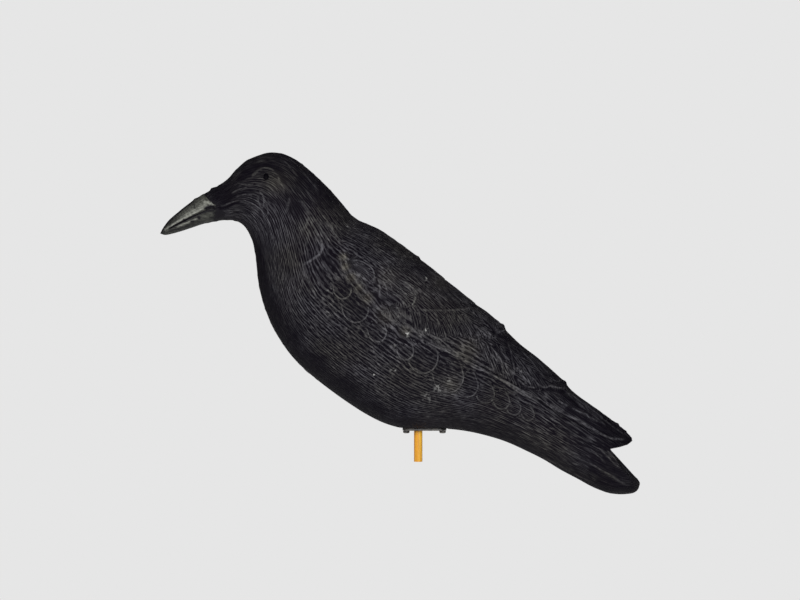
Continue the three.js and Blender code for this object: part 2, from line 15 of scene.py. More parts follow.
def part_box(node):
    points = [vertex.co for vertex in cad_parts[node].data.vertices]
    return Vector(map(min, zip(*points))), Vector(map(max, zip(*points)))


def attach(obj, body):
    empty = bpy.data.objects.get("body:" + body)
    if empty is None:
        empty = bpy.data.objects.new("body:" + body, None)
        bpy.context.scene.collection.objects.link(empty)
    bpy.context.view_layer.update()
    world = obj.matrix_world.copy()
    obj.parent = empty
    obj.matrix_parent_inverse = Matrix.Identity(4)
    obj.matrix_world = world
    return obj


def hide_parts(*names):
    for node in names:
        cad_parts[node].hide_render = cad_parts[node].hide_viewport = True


bl_info = {
    "name": "Crow Decoy",
    "version": (1, 0, 0),
    "blender": (4, 5, 0),
    "location": "3D View > Sidebar > Decoy",
    "description": "Carves and finishes a crow decoy on its peg",
    "category": "Object",
}

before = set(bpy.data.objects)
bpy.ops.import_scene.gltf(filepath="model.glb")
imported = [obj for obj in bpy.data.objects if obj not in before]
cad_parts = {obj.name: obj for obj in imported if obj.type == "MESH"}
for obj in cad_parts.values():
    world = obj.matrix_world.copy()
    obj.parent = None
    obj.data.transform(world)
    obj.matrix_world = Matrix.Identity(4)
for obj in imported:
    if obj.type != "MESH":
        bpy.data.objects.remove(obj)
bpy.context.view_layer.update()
BODY_LOW, BODY_HIGH = (np.array(corner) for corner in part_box("crow_body"))
MM = 0.001

# The bird is drawn on a square grid, x towards the tail and y down. A rib has the grid point on the back, the
# grid point on the belly, and half the width.
RIBS = [
    (160.2, 233.5, 160.2, 233.5, 0),
    (163, 228, 165, 235, 2.8),
    (169, 220, 172, 233.8, 5),
    (178, 212.2, 182, 231, 7.2),
    (188, 204.2, 193, 227.3, 9.3),
    (198, 197.3, 203, 224, 11.4),
    (208, 191.7, 212, 222, 13.6),
    (218, 186, 221, 220.4, 16.5),
    (228, 178.7, 229, 220, 20),
    (237, 168.8, 236, 221, 24),
    (246, 161, 242, 224, 27.5),
    (257, 156, 247, 229.5, 30),
    (269, 152.6, 251, 237, 31.8),
    (282, 153.6, 254, 246.5, 33),
    (294, 158.6, 255.8, 257, 34.3),
    (306, 167.3, 257, 269.5, 36.3),
    (318, 178, 258.8, 283.5, 39.5),
    (330, 189.8, 262, 298.5, 43.5),
    (342, 203.6, 266.3, 312, 48),
    (354, 217.5, 272.5, 326.5, 52.5),
    (368, 224.3, 281, 341, 56.5),
    (383, 232, 291.5, 355.5, 60),
    (398, 242.2, 304, 368.5, 62.8),
    (413, 254, 318, 380.5, 64.5),
    (428, 265.3, 333, 392, 65.3),
    (443, 277.7, 349, 403.3, 65),
    (458, 290.2, 366, 414, 63.5),
    (473, 302.7, 384, 423, 61),
    (488, 314.2, 403, 428.3, 57.8),
    (503, 327.5, 423, 429.2, 54),
    (518, 342, 444, 428.8, 49.8),
    (533, 354.8, 465, 431, 45.5),
    (548, 368, 486, 435.8, 41.3),
    (562, 381.5, 506, 442, 37.5),
    (575, 394.2, 525, 450.5, 34.5),
    (588, 403.6, 543, 459.7, 32.5),
    (599, 411.3, 560, 470, 31.5),
    (609, 418.5, 577, 478.8, 31.5),
    (617, 424.2, 592, 486.8, 32),
    (624, 430, 606, 492.2, 32.6),
    (630, 435.5, 618, 494.2, 32.5),
    (634.5, 441, 628, 493.8, 30),
    (638, 455, 634, 492.5, 24),
    (639.8, 470, 637.8, 489.3, 14),
    (639.9, 484, 639.9, 484, 0),
]
LAST_RIB = len(RIBS) - 1
SQUARE = (BODY_HIGH[0] - BODY_LOW[0]) / (RIBS[-1][0] - RIBS[0][0])  # metres across a grid square
SEAT = (418.2, 428.0)  # grid point straight above the peg's axis, on top of the belly plate
SEAT_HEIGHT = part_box("belly_plate")[1].z

# Curves over the rib number, as (rib, value) pairs. A share runs from 0 at the back to 1 at the belly.
FULLNESS = [(0, 1.7), (6, 1.9), (10, 2.2), (20, 2.3), (30, 2.2), (36, 1.9), (41, 2.2), (44, 2.2)]
WIDEST_AT = [
    (0, 0.5), (9, 0.52), (16, 0.5), (26, 0.48), (31, 0.52), (35, 0.66), (38, 0.76), (41, 0.7), (44, 0.5),
]
MOUTH_AT = [(0, 0.52), (2, 0.57), (5, 0.56), (6, 0.545), (7, 0.61), (8, 0.65), (10, 0.665)]
WING_EDGE_AT = [
    (17, 0.2), (19, 0.24), (20, 0.3), (21, 0.36), (22, 0.395), (23.5, 0.42), (25, 0.39), (26, 0.36),
    (29, 0.34), (32, 0.35), (34, 0.34), (36, 0.3), (38, 0.255), (40, 0.19), (41.5, 0.12),
]
TAIL_LEDGE_AT = [(34, 0.86), (35.5, 0.76), (37, 0.71), (39, 0.73), (41, 0.77), (44, 0.62)]
WING_LOBE = [(28, 0), (30, 26), (33, 31), (35, 26), (37, 20), (39, 13.5), (41, 5), (42, 2), (44, 0)]
WING_LOBE_END = [(28, 0.5), (33, 0.46), (36, 0.42), (38, 0.4), (40, 0.36), (44, 0.3)]
WING_TIP_TAPER = [(36.5, 0), (38, 0.12), (40, 0.4), (41.5, 0.62), (44, 0.62)]
RING_DENSITY = [(0, 1.9), (6, 1.9), (8, 1.4), (10.5, 2), (13, 2), (15.5, 1), (18, 1.5), (41, 1.5), (44, 1.2)]
GIRTH_DENSITY = [(0, 1.1), (0.08, 1.25), (0.7, 1.25), (0.85, 0.8), (1, 0.7)]  # over the share
RIDGE_HALF = [(18, 2.6), (22, 2.4), (24, 1.3), (28, 1.1), (35, 1.0), (41, 0.9)]  # mm

# Forms that stand out or step, in grid squares, and the ribs (from, full, fades, ends) between which they do.
WING_THICKNESS = 3.4
WING_RIBS = (18.6, 20.1, 38, 41)
WING_STEP = 0.012  # share on either side of the wing's edge over which it steps
WING_TIP_SHARES = (0.12, 0.42)  # between which the taper of the wing tips ends
TAIL_LEDGE = 2
TAIL_LEDGE_RIBS = (34, 37, 42, 44)
TAIL_LEDGE_STEP = (-0.02, 0.03)  # shares from the ledge's line between which it steps
WING_LOBE_ROUNDNESS = 2.4
WING_LOBE_FROM_RIB = 28
WING_LOBE_BLEND = 4  # power by which the lobe and the body run into each other
FACE_STEP = 1.1  # how far the face stands out past the beak
FACE_RIB = 6.4  # where the beak ends and the face begins
BEAK_TIP_RIBS = (0, 3)  # between which that step fades in
STEP_WIDTH = 0.13  # ribs
MOUTH_CUT = 1.5
MOUTH_RIBS = (0.4, 2, 7.3, 9.8)
MOUTH_SPREAD = 0.035  # share
MOUTH_MOST = 0.4  # the largest part of the half width that the mouth's cut takes
VALLEY_RIBS = (23, 28, 37, 39)
FEATHERED_RIBS = (6.2, 8.5)  # the strokes fade in from the bare beak

# The ridge along the wing's lower edge: how far above the edge it runs in half widths, its height as a part
# that is the same everywhere and a part of its half width, and how worn it is.
RIDGE_ABOVE = 1.3
RIDGE_RISE = (0.35 * MM, 0.12)
RIDGE_WORN = 0.22
RIDGE_LIGHT_AT = 1.2 * MM  # above the edge, where its rubbed light runs
RIDGE_LIGHT_FROM = 0.3  # how far the wing has to stand out, as a share, for that light
LIGHT_REACH = 2.2 * MM  # how far the rubbed light of the ridge or of a raised line is looked for

# Layers of feathers on the back. Each stands proud by its drop, in squares, down to its cut end, which starts
# at a rib on the back and goes down the side through grid points.
LAYERS = [
    (1.2, 27.1, [(475, 308), (462, 310), (440, 310.5), (416, 309.5), (400, 312)]),
    (2.6, 29.15, [(503, 333), (495, 335), (486, 337), (473, 339)]),
    (2.6, 33.25, [(563, 388), (548, 386), (533, 387), (524, 386), (510, 384)]),
]
LAYER_RUN = 2.6  # ribs over which a layer rises
LAYER_CUT = 0.09  # ribs over which its end drops
LAYER_UP = 0.6  # how much of the drop goes upwards on the back
LAYER_TOP = 0.12  # share down to which it goes upwards
LAYER_END = 0.45  # share at which it has died out
STEP_RIBS = (6.4, 27.1, 29.15, 33.25)  # where the surface steps, and two rings of points lie close together
STEP_GAP = 0.07  # ribs between those two rings

LINE_WIDE = 0.8 * MM
LINE_RISE = 0.75 * MM  # of a line of full lightness
LINE_WORN = 2.4 * MM  # distance at which its rubbed light ends
LINE_REACH = 8  # squares on either side of a line that are looked at
LINE_ENDS = 0.14  # share of a line over which it fades in and out
LINE_SHARES = (0.02, 0.06)  # shares between which the lines fade in from the middle of the back

# Fine raised lines of the carving on each side: how light each is rubbed, how wide it is as a share of
# LINE_WIDE, and the grid points it goes through.
RAISED_LINES = [
    # Nape and the neck's swirl.
    (0.45, 1.3, [(317, 207), (321, 213), (326, 219), (333, 229), (338, 238), (341, 247)]),
    (0.35, 1.0, [(321, 222), (327, 227), (333, 233), (338, 241)]),
    (0.3, 1.0, [(330, 222), (336, 226), (343, 231)]),
    (0.35, 1.0, [(312, 216), (319, 226), (327, 236), (333, 246)]),
    (0.3, 2.2, [(298, 199), (304, 205), (309, 214), (309, 221), (305, 229), (300, 235)]),
    (0.25, 2.0, [(291, 198), (289, 206), (287, 214)]),
    (0.6, 1.7, [(321.4, 236), (323.2, 246), (322.4, 252), (317, 257.5), (308, 263.5), (303, 265)]),
    (0.25, 1.0, [(284, 161), (291, 168), (299, 178)]),
    (0.25, 1.0, [(303, 172), (311, 182), (319, 191)]),
    (0.25, 1.0, [(306, 190), (312, 199), (316, 204)]),
    # Cheek and throat.
    (0.55, 1.1, [(260, 191.5), (263.5, 196), (265, 203), (263, 210)]),
    (0.45, 1.0, [(265.5, 199), (268, 206), (269.4, 216.7)]),
    (0.35, 1.0, [(272, 207), (277, 215), (281, 223)]),
    (0.35, 1.0, [(258, 197), (261, 206), (266, 219)]),
    (0.4, 0.9, [(243, 200), (250, 202.5), (256, 206), (262, 210.5)]),
    (0.35, 0.9, [(247, 197.5), (254, 199.5), (259, 203), (263, 207)]),
    (0.35, 0.9, [(249, 206), (255, 209), (260, 214)]),
    (0.3, 0.9, [(251, 194), (257, 196), (261, 199)]),
    (0.35, 1.0, [(232, 194), (240, 190), (249, 188)]),
    (0.35, 1.0, [(236, 198), (246, 195), (254, 196)]),
    (0.35, 0.9, [(238, 184), (247, 185.5), (255, 185)]),
    (0.4, 0.9, [(221, 206.6), (228, 204.4), (235, 202), (243, 200.5)]),
    # Brow and the lid behind it.
    (
        0.25, 1.0,
        [(251.5, 178.5), (255, 174), (261, 170.4), (266, 168.8), (271, 169.6), (275, 172.5), (278.5, 177)],
    ),
    (0.3, 1.3, [(278.5, 177), (281, 183), (284, 188), (285.5, 194)]),
    (0.35, 0.9, [(253, 178.5), (256.5, 175), (259, 172)]),
    (0.3, 0.9, [(272, 184), (277, 189), (280, 195)]),
    (0.3, 0.9, [(270, 188), (275, 193), (278, 199)]),
    # The wing's lower edge, whose raised cord forks behind the shoulder.
    (0.5, 0.9, [(380, 311), (392.5, 322), (406, 327.5), (415, 332.5)]),
    (0.6, 1.1, [(415, 332.5), (425, 333), (437.5, 337.5), (447.5, 341), (462, 346)]),
    (
        0.7, 1.1,
        [
            (418, 336), (435, 346), (450, 352.5), (465, 360), (480, 367.5), (505, 382.5), (522, 394),
            (540, 401),
        ],
    ),
    (0.45, 1.0, [(540, 401), (555, 409), (572.5, 417.5), (590, 426)]),
    # Breast.
    (0.45, 1.0, [(306, 272), (310, 281), (314, 290), (318, 299)]),
    (0.4, 1.0, [(312, 268), (317, 277), (322, 287)]),
    (0.4, 1.0, [(299, 262), (303, 271), (306, 281)]),
    (0.35, 1.0, [(322, 262), (328, 271), (334, 281)]),
    (0.35, 1.0, [(285, 268), (284, 277), (281, 285)]),
    (0.35, 1.0, [(330, 258), (337, 267), (343, 276)]),
    # The two edges of the folded wing's front, and the cord's other strand.
    (
        0.6, 1.2,
        [(345.6, 252), (346.4, 262), (349, 270), (355, 279), (362, 288), (370, 297), (378, 307), (386, 315)],
    ),
    (
        0.4, 1.0,
        [
            (341, 256), (342, 265), (345.5, 274), (350.5, 282), (357, 290), (364, 299), (372, 306.5),
            (382, 315),
        ],
    ),
    (0.65, 1.5, [(386, 315), (392, 320), (400, 324.5), (408, 327), (416, 333), (425, 340)]),
    (0.6, 1.1, [(412, 328), (426, 333), (441, 344), (459, 356), (475, 365), (489, 372.5)]),
    (0.6, 1.5, [(489, 372.5), (495, 376), (505, 381), (516, 387.5), (527, 393), (540, 400)]),
    (0.4, 1.2, [(540, 400), (552, 405), (564, 412)]),
    (0.5, 1.5, [(564, 412), (575, 418), (590, 427), (600, 433), (608, 437), (618, 438.6), (625, 438.6)]),
    # Shoulder feathers.
    (0.6, 1.0, [(350, 261), (357, 261), (364, 263), (370, 266.5), (373.6, 272), (374.6, 278), (373, 284)]),
    (0.45, 1.0, [(351, 265), (358, 266), (364, 269), (368, 273.5), (369.5, 280)]),
    (0.95, 1.4, [(356, 274), (361, 277), (367, 281)]),
    (0.4, 1.0, [(352, 270), (358, 273), (363, 276)]),
    (0.4, 1.0, [(354, 276.5), (359, 281), (364, 286.5)]),
    (0.35, 1.0, [(360, 283), (366, 288), (371, 294)]),
    (0.5, 1.1, [(378, 278), (380, 286), (379.5, 297)]),
    (0.5, 1.0, [(383, 280), (386, 287), (388, 295)]),
    (0.4, 1.0, [(388, 278), (391, 285), (392, 290)]),
    (0.6, 1.2, [(400, 281), (406, 283), (411, 287), (415, 293), (415, 299), (412, 305), (407, 307)]),
    (0.6, 1.2, [(392, 294), (397, 296), (401, 300), (404, 304), (408, 306)]),
    (0.55, 1.2, [(399, 288), (403, 292), (408, 296)]),
    (0.35, 1.0, [(404, 285), (409, 289), (412, 295)]),
    (0.5, 1.0, [(386, 306), (389, 312), (391, 318)]),
    (0.5, 1.0, [(392, 309), (396, 314), (401, 320)]),
    (0.4, 1.0, [(399, 310), (401, 315), (404, 320)]),
    (0.4, 1.0, [(405, 309), (405.5, 320)]),
    (0.35, 1.0, [(410, 310), (411, 321)]),
    # Mantle, its lower edge and the coverts under it.
    (0.5, 1.1, [(417, 288), (424, 294), (431, 300)]),
    (0.35, 1.0, [(424, 287), (430, 293), (436, 298), (441, 305)]),
    (0.4, 1.0, [(411, 286), (418, 294), (425, 301)]),
    (0.3, 1.0, [(434, 291), (441, 296), (448, 302)]),
    (0.3, 1.0, [(446, 293), (453, 299), (460, 305)]),
    (0.4, 1.2, [(478, 307), (462, 309.5), (440, 310.5), (416, 309.5)]),
    (0.4, 1.0, [(419, 311), (420, 324)]),
    (0.35, 1.0, [(426, 311), (427, 325)]),
    (0.35, 1.0, [(434, 311), (437, 321), (440, 327)]),
    (0.35, 1.0, [(446, 312), (449, 322), (452, 330)]),
    (0.45, 1.0, [(456, 313), (462, 321), (468, 329), (471, 336)]),
    (0.35, 1.0, [(461, 311), (467, 318), (472, 325)]),
    (0.5, 1.1, [(426, 333), (432, 336.5), (440, 338), (446, 338)]),
    # Ends of the second layer and the long feathers behind it.
    (0.3, 1.0, [(470, 309), (480, 315), (489, 323)]),
    (0.35, 1.0, [(476, 313), (485, 321), (494, 329)]),
    (0.35, 1.0, [(480, 309), (488, 315), (496, 322)]),
    (0.5, 1.0, [(473, 325), (480, 331), (486, 336), (490, 338)]),
    (0.55, 1.0, [(482, 328.5), (487, 332.5), (490, 336)]),
    (0.35, 1.0, [(489.5, 337.6), (496, 337)]),
    (0.5, 1.2, [(495, 333.5), (503, 332.5), (508, 335), (512, 340)]),
    (0.75, 1.2, [(489, 345), (494, 352), (499, 359), (501, 363)]),
    (0.7, 1.2, [(503.5, 362), (506, 367), (510, 371), (514, 374)]),
    (0.3, 1.0, [(507, 341), (509, 349), (511, 359), (513, 369)]),
    (0.35, 1.0, [(487, 358), (491, 365), (494, 370)]),
    (0.3, 1.0, [(478, 342), (484, 352), (488, 362)]),
    (0.3, 1.0, [(520, 350), (529, 360), (537, 370), (544, 379)]),
    (0.3, 1.0, [(516, 355), (524, 364), (531, 374)]),
    (0.45, 1.0, [(515, 377), (519, 381), (523, 384), (529, 386.5), (535, 387)]),
    (0.5, 1.1, [(535, 382), (539, 385.5), (544, 387), (549, 385), (552, 386.5), (557, 388), (563, 388.5)]),
    (0.3, 1.0, [(526, 352), (537, 363), (548, 375)]),
    # Wing tips.
    (0.6, 1.2, [(556, 399.5), (562, 403), (567, 405.5)]),
    (0.5, 1.1, [(570, 407), (576, 410), (583, 413), (585.5, 413)]),
    (0.45, 1.0, [(585, 412), (587, 416), (592, 418), (597, 422)]),
    (0.25, 1.0, [(567, 393), (590, 409), (612, 426), (627, 436)]),
    (0.25, 1.0, [(575, 402), (592, 414), (606, 426)]),
    # Tail.
    (0.35, 1.0, [(598, 448), (606, 455), (612, 462), (620, 467)]),
    (0.35, 1.0, [(605, 449), (613, 457), (622, 467)]),
    (0.3, 1.0, [(588, 447), (597, 455), (604, 462)]),
    (0.3, 1.0, [(560, 444), (567, 449), (577, 454)]),
    (0.3, 1.3, [(584, 460), (592, 464), (600, 469), (610, 474.5), (618, 480), (627, 484.5)]),
    (0.25, 1.0, [(552, 446), (568, 453), (584, 460)]),
    (0.25, 1.0, [(540, 455), (556, 463), (572, 472), (590, 481)]),
]

# The strokes. They run along the body, and turn down the breast by BREAST_TURN metres between these ribs and
# turns. Broad ones are cast in the skin, and fine ones are in the plastic's material.
BREAST_TURN = 0.02
BREAST_RIBS = (14, 20.5)
BREAST_TURNS = (0.25, 0.6)
BROAD_LONG, BROAD_WIDE = 24 * MM, 3.4 * MM
BROAD_SEED = 3
FEATHER_SHIFT = 0.0137  # metres that the pattern is shifted by from one feather to the next
RIGHT_SHIFT = 3.7  # metres that it is shifted by on the right side, so that the two sides differ

# Moulding flash along the middle of the back: its half width, the length of its tears, and its even and torn
# height.
FLASH_RIBS = (3, 6, 40, 42)
FLASH_HALF, FLASH_TEAR = 0.9 * MM, 3.1 * MM
FLASH_EVEN, FLASH_TORN = 0.08, 0.4  # mm
FLASH_SEED = 8

# Burrs and feather tips on the back's outline: grid point, radius in squares, height in mm.
BURRS = [
    ((195, 199.5), 2, 0.5), ((212.5, 190), 1.8, 1.2), ((216, 188), 1.2, 0.6), ((419, 257.5), 2.2, 1.1),
    ((473.5, 302.5), 2, 0.6), ((498, 322), 2.2, 0.4), ((502.5, 328), 2, 1.5), ((563.5, 384), 2, 1.0),
    ((617, 424.5), 1.5, 0.6), ((626, 431), 1.5, 0.7),
]
BURR_SHARES = (0.03, 0.09)  # between which they end

# Deep places that stay dark, as painted shade: the brow's hollow, the gape, creases between feathers, under
# the wing tips and along the tail's lower edge. How wide in squares, how dark, and the grid points each goes
# through.
BODY_SHADE_STRIPS = [
    (
        2.2, 0.6,
        [
            (241, 180), (247, 174.5), (253, 169.5), (260, 166), (268, 165.5), (275, 168), (281, 174),
            (285, 182),
        ],
    ),
    (4, 0.2, [(216, 193), (224, 199), (232, 205)]),
    (1.2, 0.7, [(221, 209), (228, 207), (234, 204.8), (240, 202.5)]),
    (5.5, 0.35, [(297, 205), (299, 217)]),
    (1.6, 0.8, [(376.5, 270), (377.5, 278), (376, 286)]),
    (2.4, 0.4, [(382, 300), (390, 299.5), (396, 301)]),
    (3.0, 0.45, [(324, 258), (332, 262), (338, 268)]),
    (1.5, 0.6, [(361, 288), (367, 293), (372, 299)]),
    (1.6, 0.6, [(485, 322), (491, 328), (493, 334)]),
    (1.6, 0.7, [(498, 336), (505, 337), (509, 342)]),
    (1.5, 0.5, [(493, 345), (499, 353), (503, 360)]),
    (2.4, 0.55, [(505, 344), (509, 355), (512, 366)]),
    (1.6, 0.6, [(514, 378), (522, 386.5), (533, 389.5), (548, 388.5), (562, 391)]),
    (2.2, 0.5, [(570, 400), (584, 409), (598, 418)]),
    (2.2, 0.5, [(565, 408), (580, 416), (595, 427), (604, 434)]),
    (3.2, 1.0, [(600, 441), (608, 443.5), (618, 443.5), (630, 441)]),
    (7.0, 0.6, [(604, 424), (616, 430), (628, 437)]),
    (2.4, 0.85, [(590, 468), (600, 474), (610, 481), (620, 487), (632, 490.5)]),
    (4.5, 0.5, [(594, 458), (606, 464), (618, 472)]),
    (3.0, 0.5, [(598, 481), (608, 487), (620, 491)]),
]

# Where the crests come out lighter or darker: partly rubbing, and partly painted light on the neck and
# throat, which face the lamps, and painted shade along the outline of the breast and belly, on the crown and
# on the nape. Grid point, radius in squares, amount.
RUBBED_AT = 0.46
LEAST_RUBBED, MOST_RUBBED = 0.1, 2
RUB_LIGHT_SHADE_SPOTS = [
    ((226, 196), 12, -0.4), ((282, 226), 24, 0.4), ((252, 212), 12, 0.15), ((251, 197), 10, -0.3),
    ((300, 180), 12, -0.2), ((290, 206), 10, -0.25), ((280, 163), 18, -0.25), ((250, 166), 12, -0.2),
    ((325, 192), 22, -0.3), ((275, 203), 14, -0.22), ((240, 184), 14, -0.12), ((273, 186), 9, 0.1),
    ((262, 182), 7, 0.1), ((258, 248), 9, -0.3), ((258, 268), 11, -0.4), ((262, 290), 12, -0.4),
    ((272, 312), 12, -0.35), ((290, 336), 13, -0.35), ((315, 362), 13, -0.35), ((345, 386), 13, -0.35),
    ((375, 408), 12, -0.2), ((405, 422), 11, -0.12), ((300, 290), 28, 0.05), ((345, 345), 32, 0.03),
    ((395, 285), 22, 0.15), ((425, 268), 12, -0.2), ((452, 384), 14, 0.35), ((468, 350), 12, 0.1),
    ((602, 418), 22, -0.3), ((575, 398), 12, -0.2), ((622, 432), 12, -0.3), ((632, 480), 10, -0.2),
    ((520, 350), 20, -0.3), ((545, 370), 16, -0.25), ((232, 215), 10, 0.35), ((545, 436), 26, 0.08),
    ((600, 462), 26, -0.15), ((335, 262), 8, -0.2), ((358, 312), 8, -0.2), ((560, 385), 14, -0.25),
]
BARE_RUBBED = 0.3  # on the cut faces under the wing tips
BELLY_SHADE = 0.3  # BELLY_SHADE = 0.3 # how much darker the keel of the belly is, as painted shade
BELLY_SHARES = (0.8, 1)  # between which it darkens
WING_BOLD = 0.1  # how much stronger the strokes are on the hind wing
WING_BOLD_RIBS = (27, 30)
WING_BOLD_END = 0.02  # share on either side of the wing's edge over which that ends
SCALLOP_MUTED = 0.75  # strength of the strokes inside the flank's scallops
FLANK_CLOSER = 1.4  # how much closer the strokes lie on the scallops
REAR_RIMS_LESS = 0.4  # how much less the rims of the rear scallops are worn
REAR_RIMS_RIBS = (28, 31)
SMALL_GIRTH = (105, 150)  # mm round one side: the body is small below the first and large above the second

# Small white chips in clusters, and grey dust on the crests: grid point, radius in squares, amount.
CHIPS = [
    ((426, 330), 1.6, 0.9), ((406.5, 333), 2.4, 0.6), ((521, 370), 1.5, 0.6), ((426, 279), 1.5, 0.4),
    ((447.5, 377.5), 2.0, 0.6), ((439, 387), 5.0, 0.26), ((385, 331), 1.6, 0.35), ((394, 370), 3.5, 0.3),
    ((396, 344), 2.0, 0.35), ((426, 397), 4.0, 0.22), ((328.5, 314), 2.2, 0.4), ((328.5, 292), 1.5, 0.35),
    ((349, 228), 1.5, 0.4),
]
DUSTY_SPOTS = [
    ((344, 258), 4, 0.8), ((346, 267), 4, 0.8), ((352, 278), 4, 0.6), ((359, 288), 4, 0.5),
    ((368, 298), 5, 0.45), ((388, 278), 11, 0.25), ((468, 348), 11, 0.3), ((450, 384), 8, 0.35),
    ((405, 331), 5, 0.45), ((385, 316), 9, 0.3), ((308, 232), 9, 0.1), ((440, 280), 9, 0.2),
]

# Beak paint: where it ends towards the face, as (y, x); and as grid points, its painted highlights where the
# mandibles face up, and its lines of painted shade.
PAINT_END = [(185, 202), (197, 206), (206, 215.6), (212, 216.5), (224, 213)]
PAINT_BLUR = 1.6  # squares on either side of its end
PAINT_FADE = 7  # squares over which the paint thins out under the mouth
PAINT_FADE_Y = (208.5, 213.5)
PAINT_FADE_PAST = 0.6  # share of that fade that lies past the paint's end
PAINT_REACH = 2.5  # squares past its end that still have the beak's material
# Painted shade along the culmen, which keeps the grey off its top.
CULMEN_SHADE = (0.6, 2.6)  # squares below the culmen between which the paint comes in
CULMEN_LIFT = 1.6  # squares by which it comes in sooner towards the face
CULMEN_LIFT_X = (190, 200)
BEAK_SHADE_END_X = 228
# Painted shade in the mouth's cut.
MOUTH_SHADE = 0.5
MOUTH_SHADE_NARROWER = 0.8  # the dark in the mouth against the width of its cut
# Painted highlights along the upper faces of the mandibles.
BEAK_HIGHLIGHTS = [
    (1.3, 1.0, [(166, 229.6), (172, 225.8), (180, 220.8), (190, 215.4), (199, 211), (206.5, 207)]),
    (2.6, 0.6, [(187, 215), (197, 209.5), (206, 204.5)]),
    (1.5, 1.0, [(205, 202), (209.5, 203), (213.5, 205), (216, 206.3)]),
    (0.9, 0.75, [(178, 226.6), (186, 223.4), (195, 219.8), (198, 218.6)]),
    (6.0, 0.28, [(182, 216), (192, 209), (204, 201.5)]),
    (2.6, 0.12, [(200, 219), (208, 217), (213, 214.5)]),
]
# Lines of painted shade on the beak: the mouth line, the nostril, dark dots on the mouth line, the culmen and
# the lower edge.
BEAK_SHADE_LINES = [
    (
        1.2, 1.2,
        [
            (170, 228.6), (176, 225), (184.7, 220.8), (193.8, 216.4), (207, 211.3), (215.6, 209.7),
            (233, 205.5),
        ],
    ),
    (0.8, 0.8, [(170, 231), (178, 229), (190, 225.4)]),
    (1.6, 1.8, [(206.4, 208.4), (209, 207.6), (212, 206.9), (215, 207.3)]),
    (1.3, 2.0, [(198.6, 217.8), (199.8, 218.2)]),
    (1.1, 1.2, [(191.5, 221.7), (194, 221.3)]),
    (1.4, 2.0, [(184.2, 220.3), (185.2, 220.7)]),
    (0.9, 0.8, [(193.3, 203), (195.4, 208)]),
    (3.5, 0.35, [(163, 231), (170, 222.5), (178, 214.5), (188, 206.5), (196, 201.5)]),
    (2.2, 0.3, [(180, 228.5), (192, 225), (203, 221.5)]),
]

# The parts of the skin, and the ways that strokes run on a feather: with the body, slanting off its shaft,
# fanned out from its root, or along it.
WING, FLANK, TAIL = range(3)
LAYS = ("flow", "vane", "fan", "long")

